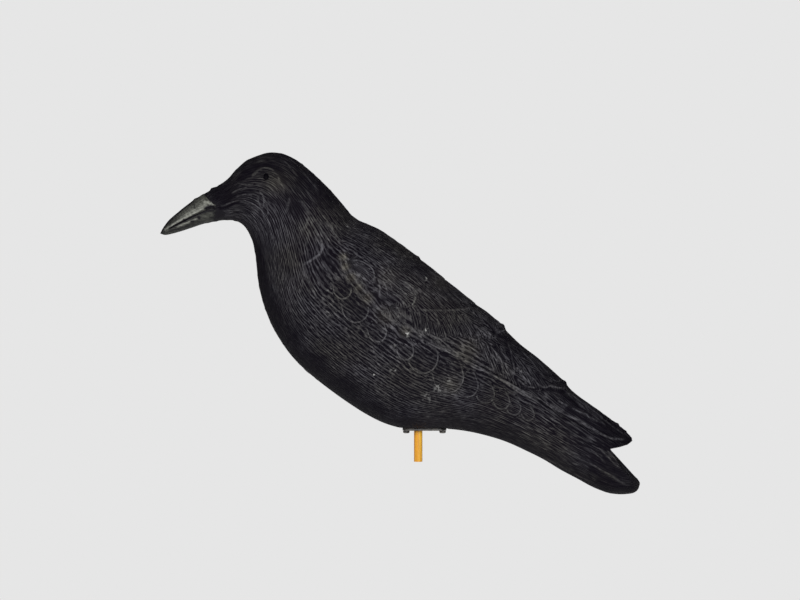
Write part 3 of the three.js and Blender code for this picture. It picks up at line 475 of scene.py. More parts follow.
# Carved feathers. x and y give a feather's tip on the grid, or rib and turn, where turn runs from 0 at the
# back to 1 at the belly. points is its direction in degrees below level, and length and width are in squares.
# Each of these is a curve over the row. thick is how far the feather stands proud and rim how far its rim
# does, in mm. Rows are carved in order, and within a row the last feather first, so that the first lies over
# the others.
FEATHER_ROWS = [
    dict(
        name="flank scallops", count=11,
        x=[
            (0, 345), (1, 360), (2, 381), (3, 407), (4, 426), (5, 452), (6, 471), (7, 489), (8, 505),
            (9, 517), (10, 531),
        ],
        y=[
            (0, 300), (1, 323), (2, 342), (3, 360), (4, 373), (5, 392), (6, 396), (7, 402), (8, 408),
            (9, 414), (10, 419.5),
        ],
        points=[(0, 80), (1, 75), (2, 72), (3, 80), (4, 78), (5, 75), (6, 68), (8, 62), (10, 58)],
        length=[(0, 19), (1, 26), (2, 20), (3, 17), (4, 30), (5, 30), (6, 26), (7, 22), (10, 17)],
        width=[(0, 20), (1, 28), (2, 20), (3, 18), (4, 32), (5, 32), (6, 24), (7, 20), (10, 14)],
        thick=0.45, rim=0.42, lay="flow", on=FLANK,
    ),
    dict(
        name="primaries", count=5, x=[(0, 600), (1, 612), (2, 619), (3, 626), (4, 632.5)],
        y=[(0, 413), (1, 421.5), (2, 426), (3, 431.5), (4, 438.5)], points=[(0, 37), (4, 35)],
        length=[(0, 74), (4, 92)], width=[(0, 9), (4, 10)], thick=0.6, rim=0.08, lay="long", on=WING,
    ),
    dict(
        name="secondaries", count=4, x=[(0, 571), (1, 560), (2, 541), (3, 521)],
        y=[(0, 391), (1, 389), (2, 389), (3, 385)], points=[(0, 38), (3, 50)],
        length=[(0, 64), (3, 40)], width=[(0, 14), (3, 14)], thick=0.6, rim=0.3, lay="vane", on=WING,
    ),
    dict(
        name="tertials", count=4, x=[(0, 526), (1, 513), (2, 504), (3, 496)],
        y=[(0, 372), (1, 374), (2, 374), (3, 366)], points=[(0, 46), (3, 58)], length=[(0, 42), (3, 40)],
        width=[(0, 12), (3, 11)], thick=0.7, rim=0.35, lay="vane", on=WING,
    ),
    dict(
        name="tertial coverts", count=3, x=[(0, 503), (1, 490), (2, 477)], y=[(0, 334), (1, 337.5), (2, 341)],
        points=[(0, 46), (2, 62)], length=[(0, 30), (2, 26)], width=[(0, 15), (2, 14)],
        thick=0.7, rim=0.35, lay="vane", on=WING,
    ),
    dict(
        name="coverts", count=7, x=[(0, 420), (6, 474)], y=[(0, 330), (1, 334), (6, 336)],
        points=[(0, 80), (6, 62)], length=[(0, 22), (6, 28)], width=[(0, 11), (6, 11)],
        thick=0.35, rim=0.05, lay="long", on=WING,
    ),
    dict(
        name="lower mantle", count=5, x=[(0, 420), (4, 474)], y=[(0, 310.5), (4, 307)],
        points=[(0, 56), (4, 42)], length=[(0, 26), (4, 30)], width=[(0, 18), (4, 16)],
        thick=0.4, rim=0.1, lay="long", on=WING,
    ),
    dict(
        name="shoulder", count=3, x=[(0, 375.5), (1, 412), (2, 396)], y=[(0, 281), (1, 305), (2, 321)],
        points=[(0, 38), (1, 48), (2, 62)], length=[(0, 33), (1, 22), (2, 16)],
        width=[(0, 16), (1, 19), (2, 17)], thick=0.5, rim=0.5, lay="fan", on=WING,
    ),
    dict(
        name="back of the tail", count=2, rib=[(0, 36.6), (1, 35.2)], turn=[(0, 0.1), (1, 0.12)],
        points=[(0, 36), (1, 37)], length=[(0, 60), (1, 50)], width=[(0, 16), (1, 16)],
        thick=0.7, rim=0.2, lay="long", on=WING,
    ),
    dict(
        name="third layer", count=3, rib=[(0, 33.2), (2, 32.7)], turn=[(0, 0), (2, 0.24)],
        points=[(0, 41), (2, 41)], length=[(0, 60), (2, 50)], width=[(0, 20), (2, 18)],
        thick=0.5, rim=0.2, lay="vane", on=WING,
    ),
    dict(
        name="second layer", count=3, rib=[(0, 29.1), (2, 28.4)], turn=[(0, 0), (2, 0.24)],
        points=[(0, 42), (2, 44)], length=[(0, 44), (2, 38)], width=[(0, 20), (2, 20)],
        thick=0.5, rim=0.2, lay="vane", on=WING,
    ),
    dict(
        name="first layer", count=4, rib=[(0, 27.0), (3, 26.3)], turn=[(0, 0), (3, 0.3)],
        points=[(0, 41), (3, 42)], length=[(0, 34), (3, 32)], width=[(0, 24), (3, 22)],
        thick=0.4, rim=0.15, lay="long", on=WING,
    ),
    dict(
        name="mantle", count=4, rib=[(0, 25.2), (3, 24.2)], turn=[(0, 0.05), (3, 0.33)],
        points=[(0, 40), (3, 40)], length=[(0, 30), (3, 28)], width=[(0, 24), (3, 22)],
        thick=0.35, rim=0.1, lay="long", on=WING,
    ),
    dict(
        name="upper mantle", count=4, rib=[(0, 23.4), (3, 22.5)], turn=[(0, 0), (3, 0.28)],
        points=[(0, 38), (3, 40)], length=[(0, 28), (3, 26)], width=[(0, 24), (3, 20)],
        thick=0.4, rim=0.1, lay="long", on=WING,
    ),
    dict(
        name="nape", count=3, rib=[(0, 21.4), (2, 20.8)], turn=[(0, 0.05), (2, 0.24)],
        points=[(0, 34), (2, 36)], length=[(0, 26), (2, 24)], width=[(0, 22), (2, 18)],
        thick=0.3, rim=0.08, lay="long", on=WING,
    ),
]

# How a feather is cut. Its rim runs inside the cut edge and a groove outside it. Both fade towards its root.
TIP_ROUND = (1.1, 0.6)  # how long its rounded end is: a share of its half width, and at most of its length
RIM_INSIDE = 0.9 * MM
RIM_SPREAD = 0.75 * MM
RIM_WORN_SPREAD = 0.9 * MM
RIM_OF_FULL_WEAR = 0.5 * MM  # height of a rim that is worn all over
GROOVE_OUTSIDE, GROOVE_SPREAD = 0.9 * MM, 0.9 * MM
GROOVE_DEPTH = 0.45  # share of the feather's thickness and rim
GROOVE_REACH = -2.2 * MM  # where the groove has died out
PLATE_SLOPE = (-0.5 * MM, 0.7 * MM)  # from the cut edge, between which the feather's face rises
COVER_SLOPE = (-0.5 * MM, 0.4 * MM)  # between which it hides what lies under it
OVER_FROM = -0.6 * MM  # from where its strokes and wear are its own
FADE_SHARES = (0.55, 1.0)  # of its length
BEYOND_TIP = 3 * MM  # how far past its tip a feather is still looked at
OTHER_SIDE = 0.02  # metres off a feather's plane at which a place is on another part of the bird
TAIL_FROM_RIB = 35
TAIL_PAST_LEDGE = 0.04  # share past the ledge's line that still counts as the tail
VANE_SLANT = (0.95, 0.3)  # about the cosine and sine of the strokes' slant off the shaft
FAN_OPEN = 0.8  # how close the fanned strokes lie
LONG_CLOSER = (1.1, 0.2)  # how close the strokes along a feather lie, and how much closer on one side
# The first points down a ring keep off the bird's middle plane, each by this much more than the last.
OFF_MIDDLE, OFF_MIDDLE_POINTS = 0.02 * MM, 3

# The gap between the folded wing tips and the tail, and the notch between the two tips seen from above.
GAP_OUTLINE = [
    (609, 448), (619, 446.2), (627, 444), (631, 441.2), (633, 439.2), (663, 409.2),
    (663, 486), (640.2, 484.5), (639.2, 481.2), (637.4, 478.6), (634.6, 476), (620, 460),
]
TAIL_CORNERS = 6  # the last corners, which follow the tail's arch
TAIL_ARCH = 7  # squares by which the tail's top drops from its middle to its sides
ARCH_STEPS = 12
TAIL_RIB = 38
BEYOND = 30  # squares by which the cutters pass the skin
TIPS_NOTCH_X = (596, 637)
TIPS_NOTCH_HALF = 9
LEAST_KEPT = 0.9  # of the bird's points, or the cut has failed

# The belly plate, the moulded flat that it sits on, its screws and the peg.
PLATE_CORNER = 6 * MM
PLATE_ROUNDING = 0.5 * MM
PLATE_GAP = 0.3 * MM
BOSS_MARGIN = 1.5 * MM
BOSS_HEIGHT = 9 * MM
SCREW_HEAD = 2 * MM
# A screw from the middle of its face down to its shank: shares of the head's radius and of its height.
SCREW_OUTLINE = [
    (0, 0), (0.45, 0.02), (0.72, 0.1), (0.9, 0.25), (0.98, 0.45), (1, 0.65), (1, 1), (0.52, 1), (0.52, 2),
    (0, 2),
]
SCREW_TURNS = {"plate_screw_front": 0.5, "plate_screw_rear": 1.1}  # radians that each cross is turned
RECESS_LONG, RECESS_WIDE, RECESS_DEEP = 3.2 * MM, 0.9 * MM, 1.1 * MM
PEG_ROUNDING = 0.35 * MM
# The edge wear also stands for a painted glint along the rounded edges.
WORN_SLANT, EDGE_WEAR = 0.55, 1.6  # upward part of a worn edge's direction, and how strong the wear is

FEATHERS_BETWEEN = (4.0, 43.0)  # ribs between which a grid point's place is looked for
HALVINGS = 40  # of the run of ribs, to find the one through a grid point
ON_BACK = 0.004  # share under which a feather lies along the middle of the back
OFF_BACK = 0.02  # share above which a place counts as off the middle of the back
LOCATED_SHARES = (0.01, 0.99)  # between which the share found for a grid point is kept

NO_EDGE = 50 * MM  # how far inside a cut edge a place with none counts as

# The eye, and the ovals round it: the middle of each along and up from the eye's, and its half sizes.
EYE = (267, 177.5)
EYE_RADII = (2.2 * MM, 2.8 * MM)
EYE_STANDS_OUT = 0.9 * MM
EYE_ROOT = 0.4 * MM  # how deep its middle lies in the skin
EYE_RING = (0, 0, 3.5 * MM, 4.5 * MM)
EYE_RING_RISE, EYE_SOCKET, EYE_RING_WORN = 0.35 * MM, 0.5 * MM, 0.3
BROW = (0.5 * MM, -1.0 * MM, 10.5 * MM, 8.5 * MM)
BROW_RISE, BROW_HOLLOW, BROW_WORN = 0.6 * MM, 0.35 * MM, 0.12
LID = (-4 * MM, 1 * MM)  # heights from the eye's middle between which the brow fades in
BEHIND_EYE = (8 * MM, -5 * MM, 9 * MM, 8 * MM)
BEHIND_EYE_DUST, BEHIND_EYE_CALM = 0.32, 0.5  # how dusty it is, and how much flatter its carving is
EYE_REACH = 0.015  # metres off the eye's plane at which a place is on the other side of the head

# The stage.
WALL_COLOUR = "#e6e6e6"
BOARD_COLOUR = "#f2f2f2"
AMBIENT = 0.08
FLOOR_HALF, FLOOR_HEIGHT = 3, -0.36
LAMPS_AIM = (0, 0, 0.12)
# Soft lamps: name, place, size, power in watts and whether the gloss shows it.
LAMPS = (
    ("key", (-1.5, -6.2, 2.1), 2.6, 285, True),
    ("fill", (1.9, -6.4, 0.8), 3.0, 185, True),
    ("back_key", (1.5, 6.2, 2.6), 2.6, 240, False),
    ("top", (0, 0.6, 5), 3.0, 30, False),
)
LENS, SENSOR = 200, 36
PICTURE = (800, 600)  # grid squares across and down the picture


def smooth(a, b, v):
    """0 below a, 1 above b, and an S-curve between."""
    s = np.clip((v - a) / (b - a), 0, 1)
    return s * s * (3 - 2 * s)


def within(ribs, rib):
    """1 between the two inner ribs, fading out to the outer ones."""
    return smooth(ribs[0], ribs[1], rib) * (1 - smooth(ribs[2], ribs[3], rib))


def hump(off, spread):
    """1 where off is 0, falling away on both sides of it over a spread."""
    return np.exp(-((off / spread) ** 2))


def through(pairs):
    """A smooth curve through (station, value) pairs, as a function of an array of stations."""
    stations, values = np.array(pairs, float).T
    last = len(stations) - 1
    if not last:
        return lambda at: np.full(np.shape(at), values[0])
    before = np.maximum(np.arange(last + 1) - 1, 0)
    after = np.minimum(np.arange(last + 1) + 1, last)
    slopes = (values[after] - values[before]) / (stations[after] - stations[before])

    def curve(at):
        s = np.clip(at, stations[0], stations[-1])
        i = np.clip(np.searchsorted(stations, s) - 1, 0, last - 1)
        run = stations[i + 1] - stations[i]
        q = (s - stations[i]) / run
        ends = values[i] * (2 * q**3 - 3 * q**2 + 1) + values[i + 1] * (3 * q**2 - 2 * q**3)
        return ends + slopes[i] * run * (q**3 - 2 * q**2 + q) + slopes[i + 1] * run * (q**3 - q**2)

    return curve


back_x, back_y, belly_x, belly_y, half_width = (
    through([(i, rib[k]) for i, rib in enumerate(RIBS)]) for k in range(5)
)
fullness = through(FULLNESS)
widest_at = through(WIDEST_AT)
mouth_at = through(MOUTH_AT)
wing_edge_at = through(WING_EDGE_AT)
tail_ledge_at = through(TAIL_LEDGE_AT)
wing_lobe = through(WING_LOBE)
wing_lobe_end = through(WING_LOBE_END)
wing_tip_taper = through(WING_TIP_TAPER)


def bulge(off, n):
    """1 at the middle of a bulge and 0 past its edge."""
    return np.maximum(0, 1 - np.abs(off) ** n) ** (1 / n)


def half_breadth(rib, share, carved=True):
    """Half the bird's width at a rib and share, in grid squares."""
    widest = widest_at(rib)
    off = np.where(share < widest, (share - widest) / widest, (share - widest) / (1 - widest))
    breadth = half_width(rib) * bulge(off, fullness(rib))
    across = np.clip(share / wing_lobe_end(rib) * 2 - 1, -1, 1)
    lobe = np.where(rib > WING_LOBE_FROM_RIB, np.maximum(0, wing_lobe(rib)), 0)
    lobe = lobe * bulge(across, WING_LOBE_ROUNDNESS)
    breadth = (breadth**WING_LOBE_BLEND + lobe**WING_LOBE_BLEND) ** (1 / WING_LOBE_BLEND)
    if carved:
        edge = wing_edge_at(rib)
        round_off = np.sqrt(np.clip(4 * share * (1 - share), 0, 1))
        wing = within(WING_RIBS, rib) * round_off * (1 - smooth(edge - WING_STEP, edge + WING_STEP, share))
        breadth = breadth + WING_THICKNESS * wing
    breadth = breadth * (1 - wing_tip_taper(rib) * (1 - smooth(*WING_TIP_SHARES, share)))
    if not carved:
        return breadth
    above, below = (tail_ledge_at(rib) + step for step in TAIL_LEDGE_STEP)
    breadth = breadth + TAIL_LEDGE * within(TAIL_LEDGE_RIBS, rib) * (1 - smooth(above, below, share))
    tip = smooth(*BEAK_TIP_RIBS, rib)
    breadth = breadth - FACE_STEP * (1 - smooth(FACE_RIB, FACE_RIB + STEP_WIDTH, rib)) * tip
    mouth = MOUTH_CUT * within(MOUTH_RIBS, rib) * hump(share - mouth_at(rib), MOUTH_SPREAD)
    return breadth - np.minimum(mouth, breadth * MOUTH_MOST)


def place(x, y, out=0.0):
    """Grid points, each a distance out from the bird's middle plane in squares, as places. Left is -Y."""
    x, y, out = np.broadcast_arrays(x, y, out)
    return np.stack([(x - SEAT[0]) * SQUARE, -out * SQUARE, SEAT_HEIGHT + (SEAT[1] - y) * SQUARE], -1)


def grid_point(rib, share):
    """The grid point at a rib and share, seen from the side."""
    x = back_x(rib) + (belly_x(rib) - back_x(rib)) * share
    y = back_y(rib) + (belly_y(rib) - back_y(rib)) * share
    return x, y


def skin(rib, share, carved=True):
    """Places on the left side of the bird's skin."""
    x, y = grid_point(rib, share)
    out = half_breadth(rib, share, carved)
    if carved:
        lift = layer_lift(rib, share) * (1 - smooth(0, LAYER_END, share))
        on_side = smooth(0, LAYER_TOP, share)
        y = y - lift * LAYER_UP * (1 - on_side)
        out = out + lift * on_side
    return place(x, y, out)


def locate(x, y):
    """The rib and share at a grid point."""
    low, high = FEATHERS_BETWEEN
    for _ in range(HALVINGS):
        rib = (low + high) / 2
        dx, dy = belly_x(rib) - back_x(rib), belly_y(rib) - back_y(rib)
        if dx * (y - back_y(rib)) < dy * (x - back_x(rib)):
            low = rib
        else:
            high = rib
    share = ((x - back_x(low)) * dx + (y - back_y(low)) * dy) / (dx * dx + dy * dy)
    return low, float(np.clip(share, *LOCATED_SHARES))


def unit(v):
    """Vectors of length one in the same directions."""
    return v / np.maximum(np.linalg.norm(v, axis=-1, keepdims=True), 1e-12)


def layer_curve(rib, points):
    """The rib at which a layer ends, as a curve over the share."""
    found = sorted((share, at) for at, share in (locate(x, y) for x, y in points))
    pairs = [(0, rib)] + [(share, at) for share, at in found if share > OFF_BACK]
    return through(pairs)


LAYER_CURVES = [(drop, layer_curve(rib, points)) for drop, rib, points in LAYERS]


def layer_lift(rib, share):
    """How far the layers of feathers stand proud, in squares."""
    lift = 0
    for drop, curve in LAYER_CURVES:
        end = curve(share)
        cut_off = 1 - smooth(end, end + LAYER_CUT, rib)
        lift = lift + drop * np.clip(1 - (end - rib) / LAYER_RUN, 0, 1) * cut_off
    return lift


def from_line(points, x, y):
    """The distance in squares from a line through grid points, signed by side, and the share of its run."""
    nearest = np.full(np.shape(x), 1e3)
    signed, run = nearest.copy(), np.zeros(np.shape(x))
    for i, ((x0, y0), (x1, y1)) in enumerate(zip(points, points[1:])):
        dx, dy = x1 - x0, y1 - y0
        length = math.hypot(dx, dy)
        t = np.clip(((x - x0) * dx + (y - y0) * dy) / length**2, 0, 1)
        off = np.hypot(x - x0 - dx * t, y - y0 - dy * t)
        side = np.where((x - x0) * dy - (y - y0) * dx > 0, 1.0, -1.0)
        nearer = off < nearest
        signed = np.where(nearer, off * side, signed)
        run = np.where(nearer, (i + t) / (len(points) - 1), run)
        nearest = np.minimum(nearest, off)
    return signed, run


def eased(points, steps=3):
    """A smooth line through points, as more points."""
    at = np.linspace(0, len(points) - 1, steps * (len(points) - 1) + 1)
    xs, ys = (through(list(enumerate(values)))(at) for values in zip(*points))
    return list(zip(xs, ys))


def raised_lines(x, y):
    """The signed distance in metres from the nearest raised line, over its width, and how light it is."""
    found, light = np.full(np.shape(x), 1.0), np.zeros(np.shape(x))
    for amount, wide, points in RAISED_LINES:
        near = np.full(np.shape(x), True)
        for at, line_at in zip((x, y), zip(*points)):
            near &= (at > min(line_at) - LINE_REACH) & (at < max(line_at) + LINE_REACH)
        off, run = from_line(eased(points), x[near], y[near])
        off = off * SQUARE / wide
        ends = smooth(0, LINE_ENDS, run) * (1 - smooth(1 - LINE_ENDS, 1, run))
        nearer = np.abs(off) < np.abs(found[near])
        found[near] = np.where(nearer, off, found[near])
        light[near] = np.where(nearer, amount * ends, light[near])
    return found, light


def spots(entries, x, y, join=np.add):
    """Soft round spots at grid points, added up or joined in another way."""
    total = np.zeros(np.shape(x))
    for (spot_x, spot_y), radius, amount in entries:
        total = join(total, amount * hump(np.hypot(x - spot_x, y - spot_y), radius))
    return total


def strips(entries, x, y):
    """The strongest of soft strips along lines through grid points."""
    total = np.zeros(np.shape(x))
    for wide, amount, points in entries:
        total = np.maximum(total, amount * hump(from_line(points, x, y)[0], wide))
    return total


def tangents(rib, share):
    """At one place on the left skin: towards the tail, towards the belly, and out."""
    near_rib, near_share, least_share = 0.2, 0.01, 0.002
    low = max(share - near_share, least_share)
    along = skin(rib + near_rib, share, False) - skin(rib - near_rib, share, False)
    down = skin(rib, share + near_share, False) - skin(rib, low, False)
    out = unit(np.cross(down, along))
    if out[1] > 0 and share > OFF_BACK:
        out = -out
    return unit(along), unit(np.cross(unit(along), out)), out


def ring_ribs(count):
    """The rib of each ring of points, closer together where the carving is finer."""
    samples, side_share = 4000, 0.4  # of the line from beak to tail on which they are spaced, and its share
    fine = np.linspace(0, LAST_RIB, samples)
    line = skin(fine, np.full(fine.shape, side_share), False)
    step = np.linalg.norm(np.diff(line, axis=0), axis=1) * through(RING_DENSITY)((fine[1:] + fine[:-1]) / 2)
    reached = np.concatenate([[0], np.cumsum(step)])
    ribs = np.interp(np.linspace(0, reached[-1], count), reached, fine)
    for step_rib in STEP_RIBS:
        i = int(np.argmin(np.abs(ribs - step_rib)))
        ribs[i], ribs[i + 1] = step_rib, step_rib + STEP_GAP
    return ribs


def girth_shares(ribs, half):
    """For each ring, the shares of its points down one side, evenly spaced round the girth by density."""
    samples = 241
    turn = np.linspace(0, 1, samples)
    shares = (1 - np.cos(np.pi * turn)) / 2
    weight = through(GIRTH_DENSITY)((shares[1:] + shares[:-1]) / 2)
    rows, turns = [], []
    for rib in ribs:
        line = skin(np.full(shares.shape, rib), shares, False)
        steps = np.linalg.norm(np.diff(line, axis=0), axis=1) * weight
        reached = np.concatenate([[0], np.cumsum(steps)])
        at = np.linspace(0, 1, half + 1)
        # At the tips of the beak and the tail a ring is one point.
        if reached[-1] > 1e-9:
            at = np.interp(at * reached[-1], reached, turn)
        rows.append((1 - np.cos(np.pi * at)) / 2)
        turns.append(at)
    return np.array(rows), np.array(turns)


def lattice_noise(u, v, seed):
    """Smooth noise from -1 to 1 over two coordinates."""
    cells = 256  # after which it repeats
    table = np.random.default_rng(seed).uniform(-1, 1, (cells, cells))
    i, j = np.floor(u).astype(int), np.floor(v).astype(int)
    a, b = smooth(0, 1, u - i), smooth(0, 1, v - j)
    i0, i1, j0, j1 = i % cells, (i + 1) % cells, j % cells, (j + 1) % cells
    low = table[i0, j0] * (1 - a) + table[i1, j0] * a
    high = table[i0, j1] * (1 - a) + table[i1, j1] * a
    return low * (1 - b) + high * b


class Feathers:
    """Every carved feather of one side: where its tip is, which way it points and how it is cut."""

    def __init__(self):
        rows = []
        for row in FEATHER_ROWS:
            for i in reversed(range(row["count"])):
                rows.append(self.one(row, i))
        self.tip, self.ahead, self.across, self.out = (np.array([f[k] for f in rows]) for k in range(4))
        self.length, self.half, self.thick, self.rim, self.lay, self.region = (
            np.array([f[k] for f in rows]) for k in range(4, 10)
        )
        self.round = np.minimum(self.half * TIP_ROUND[0], self.length * TIP_ROUND[1])

    @staticmethod
    def one(row, i):
        """A feather of a row: its tip, directions, length, half width, cut, strokes and part of the skin."""
        value = {k: float(through(row[k])(i)) for k in ("points", "length", "width")}
        if "x" in row:
            rib, share = locate(float(through(row["x"])(i)), float(through(row["y"])(i)))
        else:
            rib = float(through(row["rib"])(i))
            share = (1 - math.cos(math.pi * float(through(row["turn"])(i)))) / 2
        along, down, out = tangents(rib, max(share, ON_BACK))
        if share < ON_BACK:
            down, out = np.array([0.0, -1, 0]), unit(np.cross(np.array([0.0, -1, 0]), along))
        below_level = math.radians(value["points"])
        aim = np.array([math.cos(below_level), 0, -math.sin(below_level)])
        ahead = unit(aim - out * (aim @ out))
        return (
            skin(np.array(rib), np.array(share)), ahead, unit(np.cross(out, ahead)), out,
            value["length"] * SQUARE, value["width"] * SQUARE / 2, row["thick"] * MM, row["rim"] * MM,
            LAYS.index(row["lay"]), row["on"],
        )

    def measure(self, which, at):
        """How far back from the tip, how far across and how far inside the cut edge a place is."""
        off = at - self.tip[which]
        back = -np.sum(off * self.ahead[which], -1)
        across = np.sum(off * self.across[which], -1)
        deep = np.sum(off * self.out[which], -1)
        half, round_off = self.half[which], self.round[which]
        past = np.maximum(round_off - back, 0) * half / round_off
        inside = half - np.hypot(across, past)
        inside = np.where(np.abs(deep) > OTHER_SIDE, -1.0, inside)
        return back, across, inside

    def regions(self, rib, share):
        """Which part of the skin a place is in."""
        edge = wing_edge_at(rib)
        tail = (rib > TAIL_FROM_RIB) & (share > edge) & (share < tail_ledge_at(rib) + TAIL_PAST_LEDGE)
        return np.where(share < edge, WING, np.where(tail, TAIL, FLANK))

    def carve(self, at, rib, share):
        """The height of the carving, which feather lies on top, or -1 for none, and how worn its edge is."""
        shape = rib.shape
        height, worn = np.zeros(shape), np.zeros(shape)
        top = np.full(shape, -1)
        region = self.regions(rib, share)
        for f in range(len(self.tip)):
            back, across, inside = self.measure(f, at)
            here = (region == self.region[f]) & (back < self.length[f]) & (back > -BEYOND_TIP)
            near = here & (inside > GROOVE_REACH)
            depth = GROOVE_DEPTH * (self.thick[f] + self.rim[f])
            groove = depth * hump(inside + GROOVE_OUTSIDE, GROOVE_SPREAD)
            fade = 1 - smooth(*FADE_SHARES, back / self.length[f])
            height = np.where(near, height - groove * fade, height)
            plate = self.thick[f] * fade * smooth(*PLATE_SLOPE, inside)
            rim = self.rim[f] * fade * hump(inside - RIM_INSIDE, RIM_SPREAD)
            cover = smooth(*COVER_SLOPE, inside) * here
            height = height * (1 - cover) + cover * (plate + rim + height * (1 - fade))
            over = here & (inside > OVER_FROM)
            top = np.where(over, f, top)
            rim_worn = fade * self.rim[f] / RIM_OF_FULL_WEAR * hump(inside - RIM_INSIDE, RIM_WORN_SPREAD)
            worn = np.where(over, rim_worn, worn)
        return height, top, worn

    def strokes(self, which, at, flow):
        """Coordinates along and across the fine strokes."""
        feather = np.maximum(which, 0)
        back, across, _ = self.measure(feather, at)
        length = self.length[feather]
        off_shaft = np.abs(across)
        cos, sin = VANE_SLANT
        vane = np.stack([off_shaft * sin - cos * back, back * sin + off_shaft * cos], -1)
        reach = length - back
        fan = np.stack([np.hypot(reach, across), np.arctan2(across, reach) * length * FAN_OPEN], -1)
        long = np.stack([-back, across * LONG_CLOSER[0] + off_shaft * LONG_CLOSER[1]], -1)
        found = np.choose(self.lay[feather][..., None], [flow * (1, FLANK_CLOSER), vane, fan, long])
        found = found + (feather * FEATHER_SHIFT)[..., None]
        return np.where((which < 0)[..., None], flow, found)


def eye_frame():
    """The left eye's centre, and the directions back, up and out."""
    rib, share = locate(*EYE)
    _, _, out = tangents(rib, share)
    level = unit(np.array([1.0, 0, 0]) - out * out[0])
    up = np.cross(out, level)
    up = up * np.sign(up[2])
    return tuple(Vector(v) for v in (skin(np.array(rib), np.array(share)), level, up, out))


def eye_relief(at):
    """The height and wear of the ring round the eye and the brow over it, and the dusty place behind it."""
    centre, level, up, out = (np.array(v) for v in eye_frame())
    off = at - centre
    x, y = np.sum(off * level, -1), np.sum(off * up, -1)
    ring, brow, behind = (
        np.hypot((x - at_x) / half_x, (y - at_y) / half_y)
        for at_x, at_y, half_x, half_y in (EYE_RING, BROW, BEHIND_EYE)
    )
    lid = smooth(*LID, y)
    # Places and widths across the ring and the brow are shares of their sizes.
    height = EYE_RING_RISE * hump(ring - 1, 0.25) - EYE_SOCKET * np.exp(-((ring / 0.75) ** 4))
    height += BROW_RISE * hump(brow - 1, 0.12) * lid
    height -= BROW_HOLLOW * hump(brow - 0.74, 0.12) * lid
    worn = hump(ring - 1, 0.3) * EYE_RING_WORN + hump(brow - 1, 0.14) * lid * BROW_WORN
    near = np.abs(np.sum(off * out, -1)) <= EYE_REACH
    return tuple(np.where(near, value, 0) for value in (height, worn, hump(behind, 1)))


def add_node(tree, kind, inputs, output=0, **settings):
    """Adds a shader node with its settings. Inputs are values or other nodes' outputs. Gives one output."""
    new = tree.nodes.new("ShaderNode" + kind)
    for key, value in settings.items():
        setattr(new, key, value)
    for key, value in inputs.items():
        if isinstance(value, bpy.types.NodeSocket):
            tree.links.new(value, new.inputs[key])
        else:
            new.inputs[key].default_value = value
    return new.outputs[output]


def linear(hex_colour):
    """An sRGB hex colour as linear light."""
    parts = [int(hex_colour[i:i + 2], 16) / 255 for i in (1, 3, 5)]
    return tuple(c / 12.92 if c <= 0.04045 else ((c + 0.055) / 1.055) ** 2.4 for c in parts)


def new_material(name):
    """A material, its node tree and its shader."""
    material = bpy.data.materials.new(name)
    material.use_nodes = True
    return material, material.node_tree, material.node_tree.nodes["Principled BSDF"]


def finish_shader(tree, shader, linked, fixed):
    """Links some of the shader's sockets and sets others."""
    for key, value in linked.items():
        tree.links.new(value, shader.inputs[key])
    for key, value in fixed.items():
        shader.inputs[key].default_value = value


